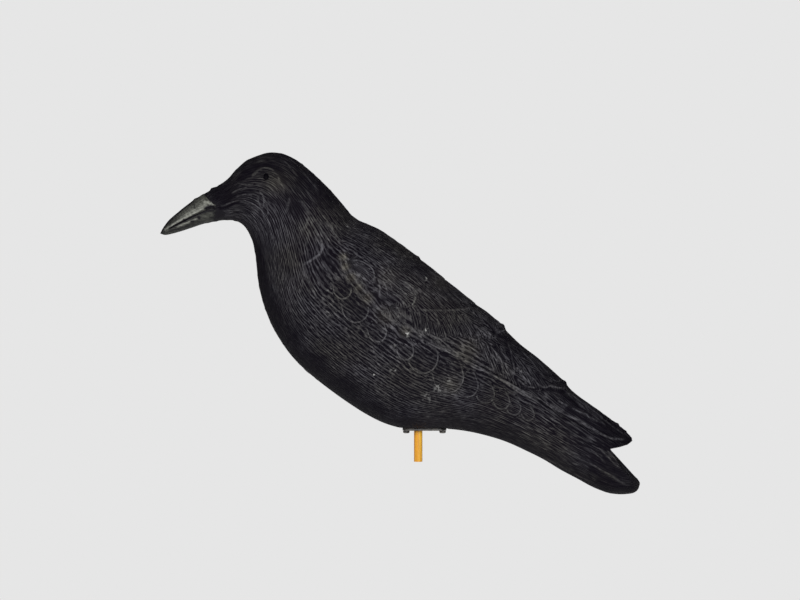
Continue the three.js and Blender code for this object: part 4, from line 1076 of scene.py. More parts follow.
def moulded_plastic(colours):
    """Matt black polyethylene, blow-moulded in a carved mould. Its strokes catch light on their crests."""
    material, tree, shader = new_material("matt_black_moulded_plastic")
    strokes = add_node(tree, "UVMap", {}, uv_map="Strokes")
    inside = add_node(tree, "SeparateXYZ", {0: add_node(tree, "UVMap", {}, uv_map="Edges")})
    # Noise laid on these has its scale in cells per metre: 45 gives cells of 22 mm, and 420 of 2.4 mm.
    position = add_node(tree, "TexCoord", {}, "Object")
    worn, dusty, rub_and_shade, small, chipped = (
        add_node(tree, "Attribute", {}, "Fac", attribute_name=name)
        for name in ("worn", "dusty", "rub_and_shade", "small", "chipped")
    )

    # Patterns drawn out along the strokes, with the length and width in mm of a unit of each. A wave has a
    # crest every 0.31 of a unit, so the gouges lie 1.9 mm apart, and bolder ones 3 mm apart in places and
    # where the girth is small. The scratches are 0.6 to 0.9 mm wide, as wide as they must be to show.
    gouge_space, bold_space, hair_space, long_hair_space, patch_space = (
        add_node(tree, "Mapping", {0: strokes, "Scale": (1 / (long * MM), 1 / (wide * MM), 1)})
        for long, wide in ((30, 6.2), (45, 9.5), (4.5, 0.6), (9, 0.9), (7, 2.4))
    )
    fine, bold = (
        add_node(
            tree, "TexWave",
            {0: space, "Scale": 1.0, "Distortion": 6.0, "Detail": detail, "Detail Scale": detail_scale},
            "Fac", wave_type="BANDS", bands_direction="Y",
        )
        for space, detail, detail_scale in ((gouge_space, 3.0, 1.9), (bold_space, 2.0, 1.6))
    )
    place_noise = add_node(tree, "TexNoise", {"Vector": position, "Scale": 60.0, "Detail": 1.0}, "Fac")
    here = add_node(tree, "MapRange", {0: place_noise, 1: 0.56, 2: 0.68, 3: 0.0, 4: 0.15})
    here = add_node(tree, "Math", {0: small, 1: 0.4, 2: here}, operation="MULTIPLY_ADD", use_clamp=True)
    gouges = add_node(tree, "Mix", {0: here, 2: fine, 3: bold})
    hairs, long_hairs = (
        add_node(tree, "TexNoise", {0: space, "Scale": 1.0, "Detail": 1.0, "Distortion": 0.2}, "Fac")
        for space in (hair_space, long_hair_space)
    )
    hairs = add_node(tree, "Mix", {0: small, 2: hairs, 3: long_hairs})

    # The crests of both, rubbed in patches.
    patches = add_node(tree, "TexNoise", {0: patch_space, "Scale": 1.0, "Detail": 1.0}, "Fac")
    line, hair = (
        add_node(
            tree, "MapRange", {0: pattern, 1: dark, 2: full, 3: 0.0, 4: 0.62},
            interpolation_type="SMOOTHSTEP",
        )
        for pattern, dark, full in ((gouges, 0.5, 0.95), (hairs, 0.52, 0.66))
    )
    strength = add_node(tree, "MapRange", {0: patches, 1: 0.36, 2: 0.64, 3: 0.5, 4: 1.2})
    # The attribute read here carries the rubbing and also painted light and shade over the body.
    strength = add_node(tree, "Math", {0: strength, 1: rub_and_shade}, operation="MULTIPLY")
    crest = add_node(tree, "Math", {0: line, 1: hair}, operation="ADD")
    crest = add_node(tree, "Math", {0: crest, 1: strength}, operation="MULTIPLY")

    # Cut rims, about 1 mm wide, rubbed in places and gone in others.
    rim = add_node(tree, "Math", {0: inside, 1: RIM_INSIDE}, operation="SUBTRACT")
    rim = add_node(tree, "Math", {0: rim}, operation="ABSOLUTE")
    rim = add_node(
        tree, "MapRange", {0: rim, 1: 0.1 * MM, 2: 0.95 * MM, 3: 1.0, 4: 0.0},
        interpolation_type="SMOOTHSTEP",
    )
    grit = add_node(tree, "TexNoise", {"Vector": position, "Scale": 420.0, "Detail": 2.0}, "Fac")
    broken = add_node(tree, "MapRange", {0: grit, 1: 0.38, 2: 0.62, 3: 0.3, 4: 1.25})
    rim = add_node(tree, "Math", {0: rim, 1: worn}, operation="MULTIPLY")
    rim = add_node(tree, "Math", {0: rim, 1: broken}, operation="MULTIPLY")

    # Handling and age dull the crests over 15 to 40 mm, and turn some of them warmer.
    cloud = add_node(tree, "TexNoise", {"Vector": position, "Scale": 45.0, "Detail": 3.0}, "Fac")
    aged = add_node(tree, "MapRange", {0: cloud, 1: 0.3, 2: 0.7, 3: 0.55, 4: 1.1})
    light = add_node(tree, "Math", {0: crest, 1: aged}, operation="MULTIPLY")
    light = add_node(tree, "Math", {0: rim, 1: 0.62, 2: light}, operation="MULTIPLY_ADD", use_clamp=True)
    tint = add_node(tree, "TexNoise", {"Vector": position, "Scale": 28.0, "Detail": 1.0}, "Fac")
    tint = add_node(tree, "MapRange", {0: tint, 1: 0.35, 2: 0.65, 3: 0.0, 4: 1.0})
    crest_colour = add_node(
        tree, "Mix", {0: tint, 6: (*colours.crest, 1), 7: (*colours.crest_warm, 1)}, 2, data_type="RGBA",
    )

    # Dust sticks to the crests and rims, least in the hollows.
    caught = add_node(tree, "Math", {0: crest, 1: 1.1, 2: 0.2}, operation="MULTIPLY_ADD")
    caught = add_node(tree, "Math", {0: caught, 1: rim}, operation="ADD")
    dust = add_node(tree, "Math", {0: dusty, 1: caught}, operation="MULTIPLY", use_clamp=True)

    # White specks about 1 mm across, one in some of the cells of 22 mm, and clusters of chips.
    specks = add_node(tree, "TexVoronoi", {"Vector": position, "Scale": 45.0}, "Distance")
    speck = add_node(tree, "MapRange", {0: specks, 1: 0.01, 2: 0.036, 3: 0.7, 4: 0.0})
    picked = add_node(tree, "TexNoise", {"Vector": position, "Scale": 37.0}, "Fac")
    picked = add_node(tree, "MapRange", {0: picked, 1: 0.58, 2: 0.62, 3: 0.0, 4: 1.0})
    speck = add_node(tree, "Math", {0: speck, 1: picked}, operation="MULTIPLY")
    flecks = add_node(tree, "MapRange", {0: grit, 1: 0.54, 2: 0.64, 3: 0.0, 4: 1.0})
    flecks = add_node(tree, "Math", {0: flecks, 1: chipped}, operation="MULTIPLY")
    speck = add_node(tree, "Math", {0: speck, 1: flecks}, operation="ADD", use_clamp=True)

    colour = (*colours.plastic, 1)
    for share, over in ((light, crest_colour), (dust, (*colours.dust, 1)), (speck, (*colours.chip, 1))):
        colour = add_node(tree, "Mix", {0: share, 6: colour, 7: over}, 2, data_type="RGBA")
    height = add_node(tree, "Math", {0: hairs, 1: 0.8}, operation="MULTIPLY")
    for pattern, rise in ((gouges, 0.35), (rim, 0.9)):
        height = add_node(tree, "Math", {0: pattern, 1: rise, 2: height}, operation="MULTIPLY_ADD")
    bump = add_node(tree, "Bump", {"Strength": 0.9, "Distance": 0.6 * MM, "Height": height})
    rough = add_node(tree, "MapRange", {0: cloud, 1: 0.3, 2: 0.7, 3: 0.62, 4: 0.78})
    linked = {"Base Color": colour, "Roughness": rough, "Normal": bump}
    finish_shader(tree, shader, linked, {"Specular IOR Level": 0.05})
    return material


def beak_enamel(colours):
    """Satin grey enamel brushed on the black beak. It is thin and mottled at the base; painted shade darkens
    the culmen, the mouth line and the nostril, and painted highlights lighten it in strips.
    """
    material, tree, shader = new_material("satin_grey_beak_enamel")
    position = add_node(tree, "TexCoord", {}, "Object")
    mask, highlight_band, beak_shade = (
        add_node(tree, "Attribute", {}, "Fac", attribute_name=name) for name in ("painted", "highlight_band", "beak_shade")
    )
    cloud = add_node(tree, "TexNoise", {"Vector": position, "Scale": 260.0, "Detail": 4.0}, "Fac")
    # Brush marks along the beak, 4 mm long and 0.7 mm wide.
    along = add_node(
        tree, "Mapping", {0: position, "Rotation": (0, math.radians(-32), 0), "Scale": (230, 1400, 1400)},
    )
    brushed = add_node(tree, "TexNoise", {0: along, "Scale": 1.0, "Detail": 3.0}, "Fac")
    ragged = add_node(tree, "Math", {0: cloud, 1: 1.3, 2: -0.65}, operation="MULTIPLY_ADD")
    ragged = add_node(tree, "Math", {0: mask, 1: ragged}, operation="ADD")
    paint = add_node(
        tree, "MapRange", {0: ragged, 1: 0.15, 2: 0.85, 3: 0.0, 4: 1.0}, interpolation_type="SMOOTHSTEP",
    )
    streaks = add_node(tree, "MapRange", {0: brushed, 1: 0.35, 2: 0.65, 3: -0.12, 4: 0.12})
    # Painted highlights along the mandibles, broken by the brush streaks.
    lit = add_node(tree, "Math", {0: highlight_band, 1: streaks}, operation="ADD", use_clamp=True)
    grey = add_node(
        tree, "Mix", {0: lit, 6: (*colours.beak, 1), 7: (*colours.beak_highlight, 1)}, 2, data_type="RGBA",
    )
    thin = add_node(tree, "MapRange", {0: brushed, 1: 0.36, 2: 0.5, 3: 0.55, 4: 0.0})
    grey = add_node(tree, "Mix", {0: thin, 6: grey, 7: (*colours.beak_thin, 1)}, 2, data_type="RGBA")
    colour = add_node(tree, "Mix", {0: paint, 6: (*colours.plastic, 1), 7: grey}, 2, data_type="RGBA")
    # Painted shade turns the beak black in the mouth line, the nostril and along the culmen.
    colour = add_node(tree, "Mix", {0: beak_shade, 6: colour, 7: (*colours.plastic, 1)}, 2, data_type="RGBA")
    bump = add_node(tree, "Bump", {"Strength": 0.35, "Distance": 0.3 * MM, "Height": brushed})
    rough = add_node(tree, "MapRange", {0: paint, 3: 0.7, 4: 0.45})
    linked = {"Base Color": colour, "Roughness": rough, "Normal": bump}
    finish_shader(tree, shader, linked, {"Specular IOR Level": 0.2})
    return material


def eye_enamel(colours):
    """Black enamel brushed on the eye and dulled with age, so that it gives hardly any highlight."""
    material, tree, shader = new_material("dulled_black_eye_enamel")
    position = add_node(tree, "TexCoord", {}, "Object")
    cloud = add_node(tree, "TexNoise", {"Vector": position, "Scale": 500.0}, "Fac")
    colour = add_node(
        tree, "Mix", {0: cloud, 6: (*colours.eye, 1), 7: (*colours.plastic, 1)}, 2, data_type="RGBA",
    )
    finish_shader(tree, shader, {"Base Color": colour}, {"Roughness": 0.5, "Specular IOR Level": 0.02})
    return material


def painted_steel(colours):
    """Pressed mild steel under black paint, worn to the metal along its edges; that bare grey also stands for
    a painted glint on them.
    """
    material, tree, shader = new_material("black_painted_steel")
    position = add_node(tree, "TexCoord", {}, "Object")
    edge = add_node(tree, "Attribute", {}, "Fac", attribute_name="worn")
    cloud = add_node(tree, "TexNoise", {"Vector": position, "Scale": 400.0, "Detail": 4.0}, "Fac")
    bare = add_node(tree, "MapRange", {0: cloud, 1: 0.42, 2: 0.6, 3: 0.0, 4: 0.75})
    bare = add_node(tree, "Math", {0: edge, 1: bare}, operation="MULTIPLY", use_clamp=True)
    colour = add_node(
        tree, "Mix", {0: bare, 6: (*colours.steel, 1), 7: (*colours.bare_steel, 1)}, 2, data_type="RGBA",
    )
    rough = add_node(tree, "MapRange", {0: cloud, 1: 0.3, 2: 0.7, 3: 0.35, 4: 0.55})
    bump = add_node(tree, "Bump", {"Strength": 0.2, "Distance": 0.1 * MM, "Height": cloud})
    finish_shader(
        tree, shader, {"Base Color": colour, "Roughness": rough, "Normal": bump, "Metallic": bare}, {},
    )
    return material


def varnished_dowel(colours):
    """A turned birch dowel under orange varnish. The grain runs up the peg and darkens it in streaks."""
    material, tree, shader = new_material("varnished_birch_dowel")
    position = add_node(tree, "TexCoord", {}, "Object")
    # Pores and late wood: streaks 1 mm wide and 22 mm long, over bands 4 mm wide and 70 mm long.
    space = add_node(tree, "Mapping", {0: position, "Scale": (900, 900, 45)})
    grain = add_node(tree, "TexNoise", {0: space, "Scale": 1.0, "Detail": 4.0, "Distortion": 0.6}, "Fac")
    space = add_node(tree, "Mapping", {0: position, "Scale": (260, 260, 14)})
    broad = add_node(tree, "TexNoise", {0: space, "Scale": 1.0, "Detail": 1.0}, "Fac")
    streak = add_node(tree, "MapRange", {0: broad, 1: 0.35, 2: 0.65, 3: 0.0, 4: 1.0})
    colour = add_node(
        tree, "Mix", {0: streak, 6: (*colours.wood, 1), 7: (*colours.wood_light, 1)}, 2, data_type="RGBA",
    )
    dark = add_node(tree, "MapRange", {0: grain, 1: 0.5, 2: 0.7, 3: 0.0, 4: 0.6})
    colour = add_node(tree, "Mix", {0: dark, 6: colour, 7: (*colours.wood_dark, 1)}, 2, data_type="RGBA")
    # Painted shadow darkens the last millimetres under the plate, broken by the grain.
    height = add_node(tree, "SeparateXYZ", {0: position}, "Z")
    plate_shadow = add_node(tree, "MapRange", {0: height, 1: 20 * MM, 2: 25 * MM, 3: 0.0, 4: 0.45})
    plate_shadow = add_node(tree, "Math", {0: plate_shadow, 1: grain}, operation="MULTIPLY", use_clamp=True)
    colour = add_node(tree, "Mix", {0: plate_shadow, 6: colour, 7: (*colours.wood_shadow, 1)}, 2, data_type="RGBA")
    bump = add_node(tree, "Bump", {"Strength": 0.35, "Distance": 0.15 * MM, "Height": grain})
    finish_shader(
        tree, shader, {"Base Color": colour, "Normal": bump},
        {"Roughness": 0.45, "Specular IOR Level": 0.3, "Coat Weight": 0.1, "Coat Roughness": 0.3},
    )
    return material


def floor_paint():
    """Matt white studio board with a faint tooth."""
    material, tree, shader = new_material("matt_white_board")
    position = add_node(tree, "TexCoord", {}, "Object")
    tooth = add_node(tree, "TexNoise", {"Vector": position, "Scale": 300.0}, "Fac")
    bump = add_node(tree, "Bump", {"Strength": 0.05, "Distance": 0.2 * MM, "Height": tooth})
    white = (*linear(BOARD_COLOUR), 1)
    # A faint glow keeps it as pale as the wall behind.
    fixed = {"Base Color": white, "Roughness": 1.0, "Specular IOR Level": 0.0}
    fixed.update({"Emission Color": white, "Emission Strength": 0.12})
    finish_shader(tree, shader, {"Normal": bump}, fixed)
    return material


def read(items, key, width=1, kind=float):
    """One property of all of a mesh's items, with a row for each where it has several numbers."""
    values = np.zeros(len(items) * width, kind)
    items.foreach_get(key, values)
    return values.reshape(-1, width) if width > 1 else values


def set_attribute(mesh, name, values):
    """Writes a number for each vertex, under a name that the materials read."""
    attribute = mesh.attributes.get(name) or mesh.attributes.new(name, "FLOAT", "POINT")
    attribute.data.foreach_set("value", np.ascontiguousarray(values, dtype=np.float32))


def set_uv(mesh, name, values):
    """Writes a UV map, with a pair of numbers for each corner of each face."""
    layer = mesh.uv_layers.get(name) or mesh.uv_layers.new(name=name)
    layer.data.foreach_set("uv", np.ascontiguousarray(values, dtype=np.float32).ravel())


def corners(mesh):
    """The vertex and the face of each corner, and how many corners each face has."""
    counts = read(mesh.polygons, "loop_total", kind=int)
    return read(mesh.loops, "vertex_index", kind=int), np.repeat(np.arange(len(counts)), counts), counts


def over_faces(values, face, counts):
    """The mean over each face of a number, or a row of numbers, at its corners."""
    means = [np.bincount(face, column) / counts for column in values.reshape(len(values), -1).T]
    return np.stack(means, -1).reshape(len(counts), *values.shape[1:])


def add_object(name, data):
    """Adds an object to the scene."""
    added = bpy.data.objects.new(name, data)
    bpy.context.scene.collection.objects.link(added)
    return added


def to_mesh(bm, name):
    """Turns a bmesh into a mesh."""
    mesh = bpy.data.meshes.new(name)
    bm.to_mesh(mesh)
    bm.free()
    return mesh


def clean(bm):
    """Merges the points that lie on each other and turns the faces outwards."""
    bmesh.ops.remove_doubles(bm, verts=bm.verts, dist=1e-7)
    bmesh.ops.recalc_face_normals(bm, faces=bm.faces)


def dress(name, mesh, materials, nodes, smooth_angle=35):
    """Makes a mesh the named piece that stands for CAD nodes."""
    piece = add_object(name, mesh)
    for material in materials:
        mesh.materials.append(material)
    mesh.shade_smooth()
    mesh.set_sharp_from_angle(angle=math.radians(smooth_angle))
    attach(piece, "root")
    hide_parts(*nodes)
    return piece


def extruded(bm, face):
    """Extrudes a face, and gives the new face and its vertices."""
    made = bmesh.ops.extrude_face_region(bm, geom=[face])["geom"]
    ahead = next(g for g in made if isinstance(g, bmesh.types.BMFace))
    return ahead, [g for g in made if isinstance(g, bmesh.types.BMVert)]


def level_edges(bm, level=True):
    """The edges that lie level, or those that don't."""
    return [e for e in bm.edges if (abs(e.verts[0].co.z - e.verts[1].co.z) < 1e-6) == level]


def round_edges(bm, edges, radius, segments=3):
    """Rounds edges off."""
    bmesh.ops.bevel(
        bm, geom=edges, offset=radius, segments=segments, profile=0.5, affect="EDGES", material=-1,
    )


def gap_cutter():
    """The solid that is cut out between the wing tips and the tail, arched over the tail."""
    bm = bmesh.new()
    tail_half = float(half_width(TAIL_RIB))
    side = tail_half + BEYOND
    face = bm.faces.new([bm.verts.new(place(x, y, side)) for x, y in GAP_OUTLINE])
    for step in range(ARCH_STEPS):
        ahead, moved = extruded(bm, face)
        # The first face stays and closes the solid's far side.
        if step:
            bm.faces.remove(face)
        face = ahead
        bmesh.ops.translate(bm, verts=moved, vec=(0, 2 * side * SQUARE / ARCH_STEPS, 0))
    tail_line = {tuple(np.round(place(x, y)[[0, 2]], 6)) for x, y in GAP_OUTLINE[-TAIL_CORNERS:]}
    for v in bm.verts:
        if (round(v.co.x, 6), round(v.co.z, 6)) in tail_line:
            v.co.z -= TAIL_ARCH * SQUARE * (v.co.y / (tail_half * SQUARE)) ** 2
    bmesh.ops.recalc_face_normals(bm, faces=bm.faces)
    return bm


def notch_cutter():
    """The wedge that parts the two wing tips."""
    bm = bmesh.new()
    point, open_end = (place(x, 0)[0] for x in TIPS_NOTCH_X)
    half = TIPS_NOTCH_HALF * SQUARE
    low, high = place(0, GAP_OUTLINE[0][1])[2], place(0, float(back_y(TAIL_RIB)) - BEYOND)[2]
    outline = ((point, 0), (open_end, -half), (open_end, half))
    _, moved = extruded(bm, bm.faces.new([bm.verts.new((x, y, low)) for x, y in outline]))
    bmesh.ops.translate(bm, verts=moved, vec=(0, 0, high - low))
    bmesh.ops.recalc_face_normals(bm, faces=bm.faces)
    return bm


def plate_pad(margin, low, high):
    """A block with the belly plate's outline, a margin wider all round."""
    plate_low, plate_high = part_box("belly_plate")
    size = plate_high - plate_low
    bm = bmesh.new()
    bmesh.ops.create_cube(bm, size=1)
    bmesh.ops.scale(bm, verts=bm.verts, vec=(size.x + 2 * margin, size.y + 2 * margin, high - low))
    centre = (plate_low + plate_high) / 2
    bmesh.ops.translate(bm, verts=bm.verts, vec=(centre.x, centre.y, (low + high) / 2))
    round_edges(bm, level_edges(bm, False), PLATE_CORNER + margin, 12)
    return bm


def in_pad(x, y, margin):
    """Whether places lie inside the belly plate's outline, a margin wider all round."""
    low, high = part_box("belly_plate")
    off_x = np.abs(x - (low.x + high.x) / 2) - (high.x - low.x) / 2 + PLATE_CORNER
    off_y = np.abs(y - (low.y + high.y) / 2) - (high.y - low.y) / 2 + PLATE_CORNER
    return np.hypot(np.maximum(off_x, 0), np.maximum(off_y, 0)) < PLATE_CORNER + margin


def lay_strokes(mesh):
    """Gives a mesh what the plastic reads. The faces that a cutter left get strokes seen from above."""
    vertex, face, counts = corners(mesh)
    maps = {}
    for name in ("Strokes", "Edges"):
        layer = mesh.uv_layers.get(name) or mesh.uv_layers.new(name=name)
        maps[name] = read(layer.data, "uv", 2)
    laid = np.abs(maps["Strokes"]).sum(axis=1) + np.abs(maps["Edges"]).sum(axis=1) > 0
    bare = np.bincount(face, laid, len(counts))[face] == 0
    maps["Strokes"][bare] = read(mesh.vertices, "co", 3)[vertex[bare], :2]
    maps["Edges"][bare] = NO_EDGE
    for name, values in maps.items():
        set_uv(mesh, name, values)
    for name, value in {"worn": 0, "dusty": 0, "rub_and_shade": BARE_RUBBED, "small": 0, "chipped": 0}.items():
        there = name in mesh.attributes
        values = read(mesh.attributes[name].data, "value") if there else np.zeros(len(mesh.vertices))
        values[vertex[bare]] = value
        set_attribute(mesh, name, values)


def combined(operation, mesh, *tools):
    """The mesh with each tool joined to it or taken out of it."""
    things = [add_object("uncut", thing) for thing in (mesh, *tools)]
    for tool in things[1:]:
        modifier = things[0].modifiers.new("cut", "BOOLEAN")
        modifier.operation = operation
        modifier.solver = "EXACT"
        modifier.object = tool
    graph = bpy.context.evaluated_depsgraph_get()
    made = bpy.data.meshes.new_from_object(things[0].evaluated_get(graph))
    for thing in things:
        bpy.data.objects.remove(thing)
    return made


def cut(mesh, cutters):
    """The mesh with the cutters taken out of it, joined to one solid first."""
    return combined("DIFFERENCE", mesh, combined("UNION", *(to_mesh(bm, "cutter") for bm in cutters)))


def wear_and_glint_edges(mesh):
    """Marks the rounded edges, which lie at a slant, as worn, which also paints a glint on them."""
    slant = np.abs(read(mesh.vertex_normals, "vector", 3)[:, 2])
    set_attribute(mesh, "worn", np.clip(EDGE_WEAR * (1 - 2 * np.abs(slant - WORN_SLANT)), 0, 1))


def screw_mesh(low, high, turn):
    """A pan head with a cross recess turned by an angle, and its shank, spun in a box."""
    middle = (low + high) / 2
    radius = (high.x - low.x) / 2
    bm = bmesh.new()
    head = [bm.verts.new((radius * r, 0, low.z + SCREW_HEAD * h)) for r, h in SCREW_OUTLINE]
    edges = [bm.edges.new(pair) for pair in zip(head, head[1:])]
    bmesh.ops.spin(
        bm, geom=head + edges, cent=(0, 0, 0), axis=(0, 0, 1), angle=2 * math.pi, steps=40, use_merge=True,
    )
    clean(bm)
    bmesh.ops.translate(bm, verts=bm.verts, vec=(middle.x, middle.y, 0))
    recess = []
    for size in ((RECESS_LONG, RECESS_WIDE), (RECESS_WIDE, RECESS_LONG)):
        slot = bmesh.new()
        bmesh.ops.create_cube(slot, size=1)
        bmesh.ops.scale(slot, verts=slot.verts, vec=(*size, 2 * RECESS_DEEP))
        bmesh.ops.rotate(slot, verts=slot.verts, matrix=Matrix.Rotation(turn, 3, "Z"))
        bmesh.ops.translate(slot, verts=slot.verts, vec=(middle.x, middle.y, low.z))
        recess.append(slot)
    return cut(to_mesh(bm, "screw"), recess)


class Carving:
    """The bird's left side as a grid of points: rings from beak to tail, and points from back to belly."""

    def __init__(self, sizes):
        half = sizes.half_round
        self.sizes = sizes
        ribs = ring_ribs(sizes.rings + 2)
        self.share, self.turn = girth_shares(ribs, half)
        self.rib = np.repeat(ribs[:, None], half + 1, 1)
        self.x, self.y = grid_point(self.rib, self.share)
        self.plain = skin(self.rib, self.share, False)
        self.carved = skin(self.rib, self.share)
        self.flow = self.laid_out()
        self.feathers = Feathers()
        self.cut, self.top, self.cut_worn = self.feathers.carve(self.carved, self.rib, self.share)
        self.feathered = smooth(*FEATHERED_RIBS, self.rib)
        self.eye_height, self.eye_worn, self.behind_eye = eye_relief(self.carved)
        self.line_off, light = raised_lines(self.x, self.y)
        self.line_light = smooth(*LINE_SHARES, self.share) * light
        chord = np.linalg.norm(self.plain[:, -1] - self.plain[:, 0], axis=1)[:, None]
        self.above_edge = (wing_edge_at(self.rib) - self.share) * chord
        self.wing = within(WING_RIBS, self.rib)
        self.ridge_half = through(RIDGE_HALF)(self.rib) * MM
        self.ridge = self.wing * hump(self.above_edge - RIDGE_ABOVE * self.ridge_half, self.ridge_half)
        self.past_end = self.x - np.interp(self.y, *np.array(PAINT_END, float).T)
        self.fading = PAINT_FADE * smooth(*PAINT_FADE_Y, self.y)

    def laid_out(self):
        """How far along the body and round it each point is, turned towards the belly down the breast."""
        steps = np.linalg.norm(np.diff(self.plain, axis=0), axis=2)
        length = np.cumsum(np.concatenate([np.zeros((1, steps.shape[1])), steps]), axis=0)
        turned = BREAST_TURN * smooth(*BREAST_RIBS, self.rib) * smooth(*BREAST_TURNS, self.turn)
        return np.stack([length, self.turn * self.sizes.stroke_girth - turned], -1)

    def outward(self):
        """The direction out of the skin at each point."""
        along = np.gradient(self.plain, axis=0)
        across = np.gradient(self.plain, axis=1)
        across[:, 0] = (0, -1, 0)
        across[:, -1] = (0, 1, 0)
        out = unit(np.cross(across, along))
        out[:, 0, 1] = out[:, -1, 1] = 0
        centre = (self.plain[:, :1] + self.plain[:, -1:]) / 2
        return unit(out * np.sign(np.sum(out * (self.plain - centre), -1, keepdims=True)))

    def height(self):
        """How far the carving stands out of the skin at each point."""
        along, across = np.moveaxis(self.feathers.strokes(self.top, self.carved, self.flow), -1, 0)
        broad = lattice_noise(along / BROAD_LONG, across / BROAD_WIDE, BROAD_SEED)
        height = self.cut + broad * self.sizes.stroke_depth * self.feathered
        height = height + self.line_light * hump(self.line_off, LINE_WIDE) * LINE_RISE
        calm = np.clip(self.eye_worn + self.behind_eye * BEHIND_EYE_CALM, 0, 1)
        height = height * (1 - calm) + self.eye_height
        height = height + (RIDGE_RISE[0] + RIDGE_RISE[1] * self.ridge_half) * self.ridge
        off_middle = np.abs(self.carved[..., 1])
        valley = within(VALLEY_RIBS, self.rib) * np.clip(1 - off_middle / self.sizes.valley_half, 0, 1)
        height = height - self.sizes.valley_depth * valley
        tears = lattice_noise(self.flow[..., 0] / FLASH_TEAR, np.zeros(self.rib.shape), FLASH_SEED)
        flash = (FLASH_EVEN + FLASH_TORN * np.maximum(0, tears)) * MM * self.sizes.flash
        height = height + hump(off_middle, FLASH_HALF) * flash * within(FLASH_RIBS, self.rib)
        return height + spots(BURRS, self.x, self.y) * MM * (1 - smooth(*BURR_SHARES, self.share))

    def places(self):
        """Where each point goes once it is carved. Points off the middle stay off it."""
        at = self.carved + self.outward() * self.height()[..., None]
        half = self.sizes.half_round
        from_middle = np.minimum(np.arange(half + 1), half - np.arange(half + 1))
        at[..., 1] = np.minimum(at[..., 1], -OFF_MIDDLE * np.minimum(from_middle, OFF_MIDDLE_POINTS))
        at[:, 0, 1] = at[:, -1, 1] = 0
        return at

    def rub_and_shade(self):
        """How strong the crests of the strokes come out: their rubbing, with painted light and shade laid
        over it.
        """
        rub_and_shade = RUBBED_AT + spots(RUB_LIGHT_SHADE_SPOTS, self.x, self.y)
        # Painted shade on the keel of the belly, which faces away from the lamps.
        rub_and_shade = rub_and_shade - BELLY_SHADE * smooth(*BELLY_SHARES, self.share) * self.feathered
        above = 1 - smooth(-WING_BOLD_END, WING_BOLD_END, self.share - wing_edge_at(self.rib))
        rub_and_shade = rub_and_shade + WING_BOLD * smooth(*WING_BOLD_RIBS, self.rib) * above
        # Painted shade in the deep places dulls the crests there.
        rub_and_shade = rub_and_shade - strips(BODY_SHADE_STRIPS, self.x, self.y)
        return np.clip(rub_and_shade, LEAST_RUBBED, MOST_RUBBED)

    def masks(self):
        """What the materials read at each point, under the names that they read."""
        on_flank = (self.top >= 0) & (self.feathers.region[self.top] == FLANK)
        less = 1 - REAR_RIMS_LESS * smooth(*REAR_RIMS_RIBS, self.rib)
        lines = self.line_light * (1 - smooth(LINE_WIDE, LINE_WORN, np.abs(self.line_off)))
        worn = np.where(on_flank, self.cut_worn * less, self.cut_worn)
        worn = np.maximum.reduce([worn, self.eye_worn, self.ridge * RIDGE_WORN, lines])
        rounds = np.linalg.norm(np.diff(self.plain, axis=1), axis=2).sum(axis=1)[:, None]

        blur_end = PAINT_BLUR + PAINT_FADE_PAST * self.fading
        painted = 1 - smooth(-PAINT_BLUR - self.fading, blur_end, self.past_end)
        chord = np.hypot(belly_x(self.rib) - back_x(self.rib), belly_y(self.rib) - back_y(self.rib))
        lifted = self.share * chord + CULMEN_LIFT * smooth(*CULMEN_LIFT_X, self.x)
        # Painted shade in the mouth's cut and along the beak's dark lines.
        beak_shade = hump(self.share - mouth_at(self.rib), MOUTH_SPREAD * MOUTH_SHADE_NARROWER)
        beak_shade = MOUTH_SHADE * beak_shade * within(MOUTH_RIBS, self.rib)
        dark = np.where(self.x < BEAK_SHADE_END_X, strips(BEAK_SHADE_LINES, self.x, self.y), 0)
        rub_and_shade = self.rub_and_shade()
        dusty = spots(DUSTY_SPOTS, self.x, self.y, np.maximum)
        return {
            "worn": worn,
            "dusty": np.maximum(self.behind_eye * BEHIND_EYE_DUST, dusty),
            # Painted shade along the culmen keeps the grey off it.
            "painted": painted * smooth(*CULMEN_SHADE, lifted),
            "highlight_band": np.clip(strips(BEAK_HIGHLIGHTS, self.x, self.y), 0, 1),
            "beak_shade": np.clip(np.maximum(beak_shade, dark), 0, 1),
            "rub_and_shade": np.where(on_flank, rub_and_shade * SCALLOP_MUTED, rub_and_shade),
            "small": np.where(self.top < 0, 1 - smooth(*SMALL_GIRTH, rounds / MM), 0),
            "chipped": np.clip(spots(CHIPS, self.x, self.y), 0, 1),
        }


def carved_body(sizes):
    """The bird's mesh: a sphere of rings whose points are moved to the carved skin."""
    bm = bmesh.new()
    bmesh.ops.create_uvsphere(bm, u_segments=2 * sizes.half_round, v_segments=sizes.rings + 1, radius=1)
    bmesh.ops.reverse_faces(bm, faces=bm.faces)
    mesh = to_mesh(bm, "crow_body_carved")
    ball = read(mesh.vertices, "co", 3)
    ring = np.rint(np.arccos(np.clip(ball[:, 2], -1, 1)) / np.pi * (sizes.rings + 1)).astype(int)
    column = np.rint(np.arctan2(ball[:, 1], ball[:, 0]) / np.pi * sizes.half_round).astype(int)
    point = (ring, np.abs(column))
    side = np.where(column < 0, -1.0, 1.0)

    carving = Carving(sizes)
    places = carving.places()[point]
    places[:, 1] *= side
    places = np.clip(places, BODY_LOW, BODY_HIGH)
    # Under the plate the belly is flat.
    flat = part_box("belly_plate")[1].z + 2 * PLATE_GAP
    under = in_pad(places[:, 0], places[:, 1], BOSS_MARGIN) & (places[:, 2] < flat)
    places[under, 2] = flat
    mesh.vertices.foreach_set("co", places.ravel())
    for name, values in carving.masks().items():
        set_attribute(mesh, name, values[point])
    side[(column == 0) | (np.abs(column) == sizes.half_round)] = 0
    lay_feathers(mesh, carving, point, side)
    return mesh


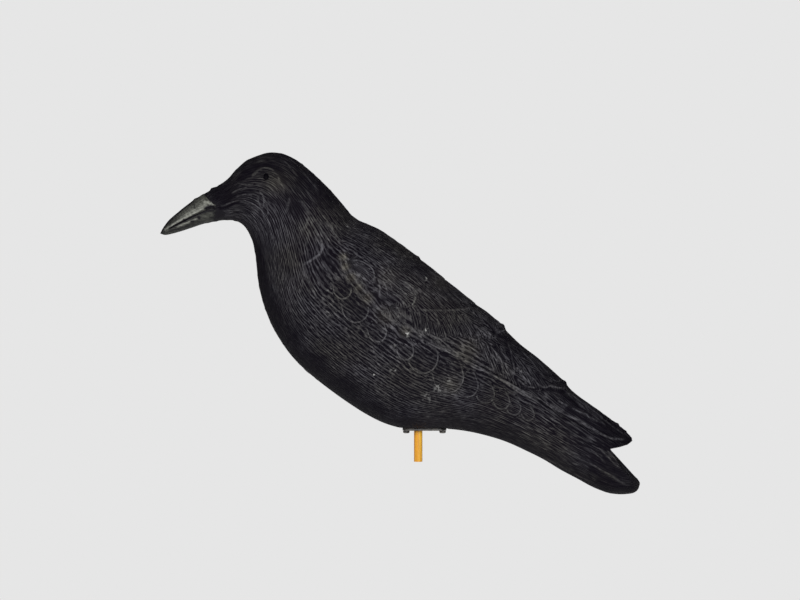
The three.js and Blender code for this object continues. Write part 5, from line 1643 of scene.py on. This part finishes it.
def lay_feathers(mesh, carving, point, side):
    """Lays out the strokes and cut edges, each face all on one feather, and gives the beak its enamel."""
    vertex, face, counts = corners(mesh)
    corner = tuple(index[vertex] for index in point)
    grids = (carving.carved, carving.rib, carving.share)
    middles = [over_faces(grid[corner], face, counts) for grid in grids]
    top = carving.feathers.carve(*middles)[1][face]
    strokes = carving.feathers.strokes(top, carving.carved[corner], carving.flow[corner])
    right = over_faces(side[vertex], face, counts)[face] < 0
    strokes[:, 1] += np.where(right, RIGHT_SHIFT, 0)
    set_uv(mesh, "Strokes", strokes)

    # A cut edge is a feather's, the ridge of the wing's lower edge, or a raised line.
    inside = carving.feathers.measure(np.maximum(top, 0), carving.carved[corner])[2]
    inside = np.where(top < 0, NO_EDGE, inside)
    above = carving.above_edge[corner]
    on_ridge = (np.abs(above - RIDGE_LIGHT_AT) < LIGHT_REACH) & (carving.wing[corner] > RIDGE_LIGHT_FROM)
    inside = np.where(on_ridge, above - RIDGE_LIGHT_AT + RIM_INSIDE, inside)
    off = carving.line_off[corner]
    on_line = over_faces(np.abs(off), face, counts)[face] < LIGHT_REACH
    inside = np.where(on_line, off + RIM_INSIDE, inside)
    set_uv(mesh, "Edges", np.stack([inside, np.zeros(inside.shape)], -1))

    past_paint = (carving.past_end - carving.fading)[corner]
    beak = over_faces(past_paint, face, counts) < PAINT_REACH
    mesh.polygons.foreach_set("material_index", beak.astype(np.int32))


def add_eyes(mesh):
    """A low dome for each eye, joined to the body's mesh."""
    centre, level, up, out = eye_frame()
    bm = bmesh.new()
    bm.from_mesh(mesh)
    for side in (1, -1):
        axes = Matrix([level * EYE_RADII[0], up * EYE_RADII[1], out * (EYE_STANDS_OUT + EYE_ROOT)])
        whole = Matrix.Translation(centre - out * EYE_ROOT) @ axes.transposed().to_4x4()
        if side < 0:
            whole = Matrix.Diagonal((1, -1, 1, 1)) @ whole
        made = bmesh.ops.create_uvsphere(bm, u_segments=32, v_segments=16, radius=1, matrix=whole)
        for face in {f for v in made["verts"] for f in v.link_faces}:
            face.material_index = 2
            if side < 0:
                face.normal_flip()
    bm.to_mesh(mesh)
    bm.free()


class CrowSizes(bpy.types.PropertyGroup):
    """Sizes of the carving."""

    rings: IntProperty(
        name="Rings", description="Rings of points from beak to tail", default=352, min=40, max=360,
    )
    half_round: IntProperty(
        name="Points per side", description="Points down one side of a ring", default=130, min=20, max=132,
    )
    flash: FloatProperty(
        name="Flash", description="Share of the moulding flash left on the parting line", default=0.8, min=0,
    )
    stroke_depth: FloatProperty(
        name="Stroke depth", description="Depth of the broad strokes", default=0.1 * MM, unit="LENGTH",
    )
    stroke_girth: FloatProperty(
        name="Stroke girth", description="Half a girth over which strokes are laid out", default=0.16,
        unit="LENGTH",
    )
    valley_depth: FloatProperty(
        name="Valley depth", description="Depth between the folded wings", default=2.2 * MM, unit="LENGTH",
    )
    valley_half: FloatProperty(
        name="Valley half width", description="Half the width of that valley", default=4.5 * MM,
        unit="LENGTH",
    )


def colour(name, description, value):
    """A colour that the user can change, from its sRGB hex value."""
    return FloatVectorProperty(
        name=name, description=description, default=linear(value), subtype="COLOR", size=3, min=0, max=1,
    )


class CrowColours(bpy.types.PropertyGroup):
    """Colours of the finishes."""

    plastic: colour("Plastic", "Matt black plastic", "#0a070f")
    crest: colour("Crest", "Plastic rubbed on its crests", "#6d6c71")
    crest_warm: colour("Warm crest", "Plastic rubbed and a little dusty", "#6d6b67")
    dust: colour("Dust", "Grey-brown dust", "#716d61")
    chip: colour("Chip", "White chips and specks", "#d8d8d4")
    beak: colour("Beak", "Beak enamel", "#262724")
    beak_thin: colour("Beak thin", "Beak enamel where it is thin", "#1b1b1a")
    # The colour of the painted highlights on the beak enamel.
    beak_highlight: colour("Beak light", "Beak enamel where it is thickest", "#888981")
    eye: colour("Eye", "Eye enamel", "#050506")
    steel: colour("Steel", "Black paint on steel", "#121213")
    bare_steel: colour("Bare steel", "Steel at worn edges", "#8f8a84")
    wood: colour("Wood", "Varnished wood", "#d0881c")
    wood_light: colour("Light wood", "Light streaks", "#dca836")
    wood_dark: colour("Dark wood", "Dark grain", "#a4641c")
    # The colour of the painted shadow on the peg under the plate.
    wood_shadow: colour("Stained wood", "Wood stained black under the plate", "#3a2410")


class CROW_OT_body(bpy.types.Operator):
    """Carve the bird and finish its plastic, beak and eyes"""

    bl_idname = "crow.body"
    bl_label = "Bird"

    def execute(self, context):
        colours = context.scene.crow_colours
        uncut = carved_body(context.scene.crow_sizes)
        for material in (moulded_plastic(colours), beak_enamel(colours), eye_enamel(colours)):
            uncut.materials.append(material)
        before = len(uncut.vertices)
        mesh = cut(uncut, [gap_cutter(), notch_cutter()])
        if len(mesh.vertices) < LEAST_KEPT * before:
            raise RuntimeError("the gap and the notch could not be cut out of the bird")
        lay_strokes(mesh)
        add_eyes(mesh)
        dress("crow_body_carved", mesh, [], ["crow_body"], 50)
        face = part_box("belly_plate")[1].z + PLATE_GAP
        bm = plate_pad(BOSS_MARGIN, face, face + BOSS_HEIGHT)
        clean(bm)
        flat = to_mesh(bm, "belly_flat")
        dress("belly_flat", flat, [mesh.materials[0]], ["crow_body"])
        lay_strokes(flat)
        return {"FINISHED"}


class CROW_OT_plate(bpy.types.Operator):
    """Press the belly plate and screw it on"""

    bl_idname = "crow.plate"
    bl_label = "Plate and screws"

    def execute(self, context):
        steel = painted_steel(context.scene.crow_colours)
        low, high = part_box("belly_plate")
        bm = plate_pad(0, low.z, high.z)
        round_edges(bm, level_edges(bm), PLATE_ROUNDING)
        clean(bm)
        name = "belly_plate_pressed"
        plate = dress(name, to_mesh(bm, name), [steel], ["belly_plate"])
        wear_and_glint_edges(plate.data)
        for name, turn in SCREW_TURNS.items():
            screw = dress(name + "_panhead", screw_mesh(*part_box(name), turn), [steel], [name])
            wear_and_glint_edges(screw.data)
        return {"FINISHED"}


class CROW_OT_peg(bpy.types.Operator):
    """Turn the peg"""

    bl_idname = "crow.peg"
    bl_label = "Peg"

    def execute(self, context):
        low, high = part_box("peg")
        bm = bmesh.new()
        radius = (high.x - low.x) / 2
        bmesh.ops.create_cone(
            bm, cap_ends=True, segments=64, radius1=radius, radius2=radius, depth=high.z - low.z,
            matrix=Matrix.Translation((low + high) / 2),
        )
        round_edges(bm, level_edges(bm), PEG_ROUNDING)
        clean(bm)
        wood = varnished_dowel(context.scene.crow_colours)
        dress("peg_dowel", to_mesh(bm, "peg_dowel"), [wood], ["peg"])
        return {"FINISHED"}


class CROW_OT_stage(bpy.types.Operator):
    """Set the pale floor, the soft light and the camera"""

    bl_idname = "crow.stage"
    bl_label = "Stage"

    def execute(self, context):
        scene = context.scene
        world = bpy.data.worlds.new("studio")
        scene.world = world
        world.use_nodes = True
        tree = world.node_tree
        grey = (*linear(WALL_COLOUR), 1)
        wall = tree.nodes["Background"]
        wall.inputs["Color"].default_value = grey
        # The camera sees the wall in full, and the decoy is lit by it only faintly.
        ambient = add_node(tree, "Background", {"Color": grey, "Strength": AMBIENT})
        seen = add_node(tree, "LightPath", {}, "Is Camera Ray")
        mixed = add_node(tree, "MixShader", {0: seen, 1: ambient, 2: wall.outputs[0]})
        tree.links.new(mixed, tree.nodes["World Output"].inputs["Surface"])

        bm = bmesh.new()
        bmesh.ops.create_grid(bm, x_segments=1, y_segments=1, size=FLOOR_HALF)
        bmesh.ops.translate(bm, verts=bm.verts, vec=(0, 0, FLOOR_HEIGHT))
        floor = add_object("floor", to_mesh(bm, "floor"))
        floor.data.materials.append(floor_paint())

        for name, position, size, power, glossy in LAMPS:
            light = bpy.data.lights.new(name, "AREA")
            light.energy = power
            light.size = size
            lamp = add_object(name, light)
            lamp.location = position
            lamp.rotation_euler = (Vector(LAMPS_AIM) - Vector(position)).to_track_quat("-Z", "Y").to_euler()
            lamp.visible_glossy = glossy

        camera = bpy.data.cameras.new("camera")
        camera.lens = LENS
        camera.sensor_width = SENSOR
        camera.clip_end = 100
        across, down = PICTURE
        middle = place(across / 2, down / 2)
        eye = add_object("camera", camera)
        eye.location = (middle[0], -across * SQUARE * camera.lens / camera.sensor_width, middle[2])
        eye.rotation_euler = (math.pi / 2, 0, 0)
        scene.camera = eye
        scene.view_settings.view_transform = "Standard"
        return {"FINISHED"}


class CROW_PT_panel(bpy.types.Panel):
    """Lists the decoy's pieces"""

    bl_label = "Crow Decoy"
    bl_space_type = "VIEW_3D"
    bl_region_type = "UI"
    bl_category = "Decoy"

    def draw(self, context):
        for operator in OPERATORS:
            self.layout.operator(operator.bl_idname)


OPERATORS = (CROW_OT_body, CROW_OT_plate, CROW_OT_peg, CROW_OT_stage)
CLASSES = (CrowSizes, CrowColours, *OPERATORS, CROW_PT_panel)


def register():
    for cls in CLASSES:
        bpy.utils.register_class(cls)
    bpy.types.Scene.crow_sizes = PointerProperty(type=CrowSizes)
    bpy.types.Scene.crow_colours = PointerProperty(type=CrowColours)


def unregister():
    del bpy.types.Scene.crow_colours
    del bpy.types.Scene.crow_sizes
    for cls in reversed(CLASSES):
        bpy.utils.unregister_class(cls)


def main():
    register()
    bpy.ops.crow.stage()
    bpy.ops.crow.body()
    bpy.ops.crow.plate()
    bpy.ops.crow.peg()
    bpy.context.view_layer.update()


if __name__ == "__main__":
    main()
